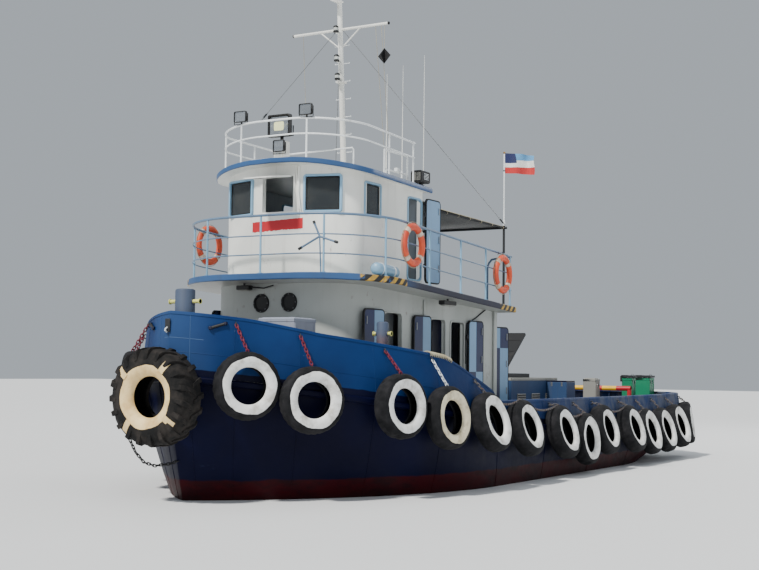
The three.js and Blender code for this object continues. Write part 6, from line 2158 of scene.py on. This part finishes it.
def build_wall_fittings():
    shape = Shape()
    # Brushed red strip across the wheelhouse front
    rings = []
    brush = random.Random(12)
    for k in range(41):
        y = lerp(-0.52, 0.50, k / 40)
        low = 4.262 + 0.03 * k / 40 + brush.uniform(-0.008, 0.008)
        high = 4.43 + 0.035 * k / 40 + brush.uniform(-0.004, 0.004)
        face = front_x(WHEELHOUSE, y) + 0.0006
        rings.append([(face, y, low), (face + 0.002, y, low), (face + 0.002, y, high), (face, y, high)])
    shape.rings(rings, "red")
    # Portholes of the deckhouse front. Columns: y, z
    for y, z in ((-0.25, 3.06), (0.31, 3.07)):
        place = upright((front_x(DECKHOUSE, y), y, z), 0)
        rim = [(0.115, -0.01), (0.118, 0.022), (0.128, 0.03), (0.148, 0.03), (0.156, 0.02), (0.156, -0.01)]
        shape.lathe(rim, 48, "rubber", place)
        shape.lathe([(0.0005, 0.004), (0.118, 0.004), (0.118, 0.008), (0.0005, 0.01)], 48, "black", place)
        for a in circle(8):
            bolt = [place @ Vector((0.138 * cos(a), 0.138 * sin(a), z)) for z in (0.028, 0.037)]
            shape.pipe(bolt, 0.007, "steel", 6)
    # Lamps under the boat deck. Columns: x, y, length, breadth, turn in degrees
    for x, y, length, breadth, turn in ((5.72, -0.50, 0.13, 0.26, 0), (3.0, 1.9, 0.5, 0.12, 2),
                                        (3.0, -1.9, 0.5, 0.12, -2)):
        under = boat_under(x)
        shape.box((length, breadth, 0.075), (x, y, under - 0.075), "black", radians(turn), 0.012)
        shape.box((length * 0.8, breadth * 0.75, 0.02), (x, y, under - 0.118), "grey", radians(turn), 0.006)
        shape.post(x, y, under - 0.05, under - 0.0005, 0.02, "dark", 12)
    shape.pipe([(5.72, -0.36, boat_under(5.72) - 0.07), (5.72, -0.1, boat_under(5.72) - 0.09),
                (5.66, 0.05, boat_under(5.7) - 0.04)], 0.012, "dark", 8)
    # Three-armed bracket behind the front rail
    centre = Vector((5.93, 1.12, 4.09))
    for end in ((5.93, 1.0, 4.34), (5.93, 0.72, 3.9), (5.93, 1.46, 3.98)):
        tip = Vector(end)
        shape.pipe([centre, lerp(centre, tip, 0.86)], 0.017, "rail_slate", 12)
        shape.pipe([lerp(centre, tip, 0.84), tip], 0.023, "dark", 12)
    shape.pipe([centre, (5.93, 1.15, boat_top(5.93))], 0.012, "rail_slate", 10)
    # Upright between the wheelhouse's front windows, stiffened by a strut
    shape.post(5.515, 0.42, 4.5, 5.33, 0.019, "upper_white", 12)
    shape.pipe([(5.525, 0.36, 5.33), (5.525, 0.47, 4.56)], 0.012, "upper_white", 10)
    # Conduits and pipes on the deckhouse sides. Columns: radius, paint, points as x and z
    for side in BOTH:
        for radius, paint, route in (
                (0.012, "dark", ((1.11, 3.13), (1.5, 2.95), (1.83, 2.84), (1.86, 2.6), (1.86, 2.1))),
                (0.022, "white", ((0.80, 3.10), (0.80, 1.0))),
                (0.016, "white", ((3.32, 3.2), (3.32, 1.9)))):
            points = [(x, side * (half_width(DECKHOUSE, x) + radius), z) for x, z in route]
            shape.pipe(points, radius, paint, 10)
    shape.piece("wall_fittings", angle=40)


def build_deck_fittings():
    shape = Shape()
    # Pale blue float that lies on the boat deck inside the rail
    place = moved((4.72, 1.84, boat_top(5.08) + 0.10)) @ turned(radians(87), "Y")
    body = [(0.001, 0.0), (0.05, 0.005), (0.085, 0.03), (0.1, 0.07), (0.1, 0.65), (0.085, 0.69), (0.05, 0.715),
            (0.001, 0.72)]
    shape.lathe(body, 36, "blue", place)
    for along in (0.18, 0.54):
        band = [(0.099, along - 0.02), (0.105, along - 0.015), (0.105, along + 0.015), (0.099, along + 0.02)]
        shape.lathe(band, 36, "rail_white", place)
    # White frame on the roof's port side
    front, back, y = 3.8, 2.98, 1.05
    top = roof_top(3.4, y) + 0.5
    for x in (front, back):
        shape.post(x, y, roof_top(x, y), top, 0.018, "rail_white", 12)
        shape.post(x, y, roof_top(x, y), roof_top(x, y) + 0.014, 0.04, "rail_white", 14)
    shape.pipe([(front, y, top), (back, y, top)], 0.018, "rail_white", 12)
    shape.pipe([(front, y, top - 0.34), (back, y, top - 0.34)], 0.014, "rail_white", 12)
    shape.box((0.1, 0.08, 0.07), (lerp(front, back, 0.55), y, top - 0.30), "rail_white", edge=0.01)
    # Hook plate at the stem and a bracket on each bow
    tip = hull_point(DECK, 0.0, PORT)
    face = tip.x - lean_at(tip.x) * 0.6
    shape.box((0.02, 0.09, 0.2), (face + 0.012, -0.03, 2.6), "dark", edge=0.006)
    hook = ((0.02, 2.57), (0.06, 2.55), (0.065, 2.52), (0.03, 2.5))
    shape.pipe([(face + reach, -0.03, z) for reach, z in hook], 0.012, "rail_white", 8)
    for side in BOTH:
        ends = []
        for x, drop in ((7.96, 0.16), (7.83, 0.07)):
            ends.append(bulwark_at(station_of(x), side, rail_z(x) - drop - CAP, -0.02))
        shape.pipe(ends, 0.022, "black", 10)
        for end in ends:
            shape.box((0.05, 0.05, 0.05), end, "navy", edge=0.008)
    shape.piece("deck_fittings", angle=40)
    lashing = Shape()
    for side in BOTH:
        points = []
        turns, steps = 13, 14
        for k in range(turns * steps + 1):
            x = lerp(4.9, 4.3, k / (turns * steps))
            a = 2 * pi * k / steps
            top = rail_z(x)
            middle = lean_at(x) * (top - deck_z(x)) + 0.052
            here, _, inboard = edge_frame(station_of(x), side)
            wide = 0.078 * (1 if abs(cos(a)) > 0.3 else 0.9)
            points.append(beside(here, inboard, middle + wide * cos(a), top - CAP / 2 + 0.042 * sin(a) + 0.004))
        lashing.pipe(points, 0.011, "rope", 8)
    lashing.piece("bulwark_lashing", angle=60)
    seams = Shape()
    for side in BOTH:
        x = 8.12
        t = station_of(x)
        low, high = deck_z(x) + 0.13, rail_z(x) - CAP
        seams.pipe([bulwark_at(t, side, lerp(low, high, k / 6), 0.001) for k in range(7)], 0.005, "seam", 6)
    points = []
    for t in around(12, -0.035, 0.075):
        x = hull_point(DECK, abs(t), PORT).x
        side = PORT if t >= 0 else STARBOARD
        points.append(bulwark_at(abs(t), side, lerp(deck_z(x), rail_z(x), 0.58), 0.001))
    seams.pipe(points, 0.0045, "seam", 6)
    seams.piece("bow_weld_seams", angle=60)


def build_partitions():
    """Inner linings that close the view through the open deckhouse doors; behind the aft doors a navy sheet stands
    for painted shade of the dark inside
    """
    shape = Shape()
    for side in BOTH:
        # The navy sheet behind the aft doors is painted shade of the deckhouse's dark inside
        for first, last, paint in ((3.75, 4.75, "lining"), (2.50, 3.15, "lining"), (1.75, 2.46, "navy")):
            turn = wall_turn(DECKHOUSE) * side
            middle = (first + last) / 2
            y = side * (half_width(DECKHOUSE, middle) - 0.34)
            low, high = deck_z(middle) + 0.002, boat_under(middle) - 0.03
            shape.box((last - first, 0.03, high - low), (middle, y, (low + high) / 2), paint, turn, 0.006)
            shape.box((last - first - 0.02, 0.02, 0.05), (middle, y + side * 0.02, low + 0.9), "grey", turn, 0.006)
    shape.piece("deckhouse_linings_and_shade", angle=40)


build_wall_fittings()
build_deck_fittings()
build_partitions()


# Floor and light
def build_stage():
    mesh = bpy.data.meshes.new("floor")
    size = 120
    corners = [(-size, -size, 0), (size, -size, 0), (size, size, 0), (-size, size, 0)]
    mesh.from_pydata(corners, [], [(0, 1, 2, 3)])
    paint = Paint("studio_floor")
    mesh.materials.append(paint.finish(colour(226, 227, 228), 0.6))
    floor = bpy.data.objects.new("floor", mesh)
    bpy.context.scene.collection.objects.link(floor)
    world = bpy.data.worlds.new("studio")
    world.use_nodes = True
    bpy.context.scene.world = world
    background = world.node_tree.nodes["Background"]
    background.inputs["Color"].default_value = (0.84, 0.92, 1.0, 1)
    background.inputs["Strength"].default_value = 0.5
    sun = bpy.data.lights.new("sun", "SUN")
    sun.energy = 4.8
    sun.angle = radians(5)
    sun.color = (1, 0.98, 0.93)
    lamp = bpy.data.objects.new("sun", sun)
    lamp.rotation_euler = (-Vector((0.60, -0.14, 0.79))).to_track_quat("-Z", "Y").to_euler()
    bpy.context.scene.collection.objects.link(lamp)
    # Lamps. Columns: name, place, aim, size, watts, tint
    for name, at, aim, size, watts, tint in (
            ("fill", (18, 26, 16), (0, 0, 2), 14, 1500, (0.92, 0.96, 1)),
            ("rim", (-22, 8, 16), (0, 0, 3), 12, 1400, (1, 1, 1))):
        light = bpy.data.lights.new(name, "AREA")
        light.shape = "DISK"
        light.size = size
        light.energy = watts
        light.color = tint
        lamp = bpy.data.objects.new(name, light)
        lamp.location = at
        lamp.rotation_euler = (Vector(aim) - Vector(at)).to_track_quat("-Z", "Y").to_euler()
        bpy.context.scene.collection.objects.link(lamp)


build_stage()
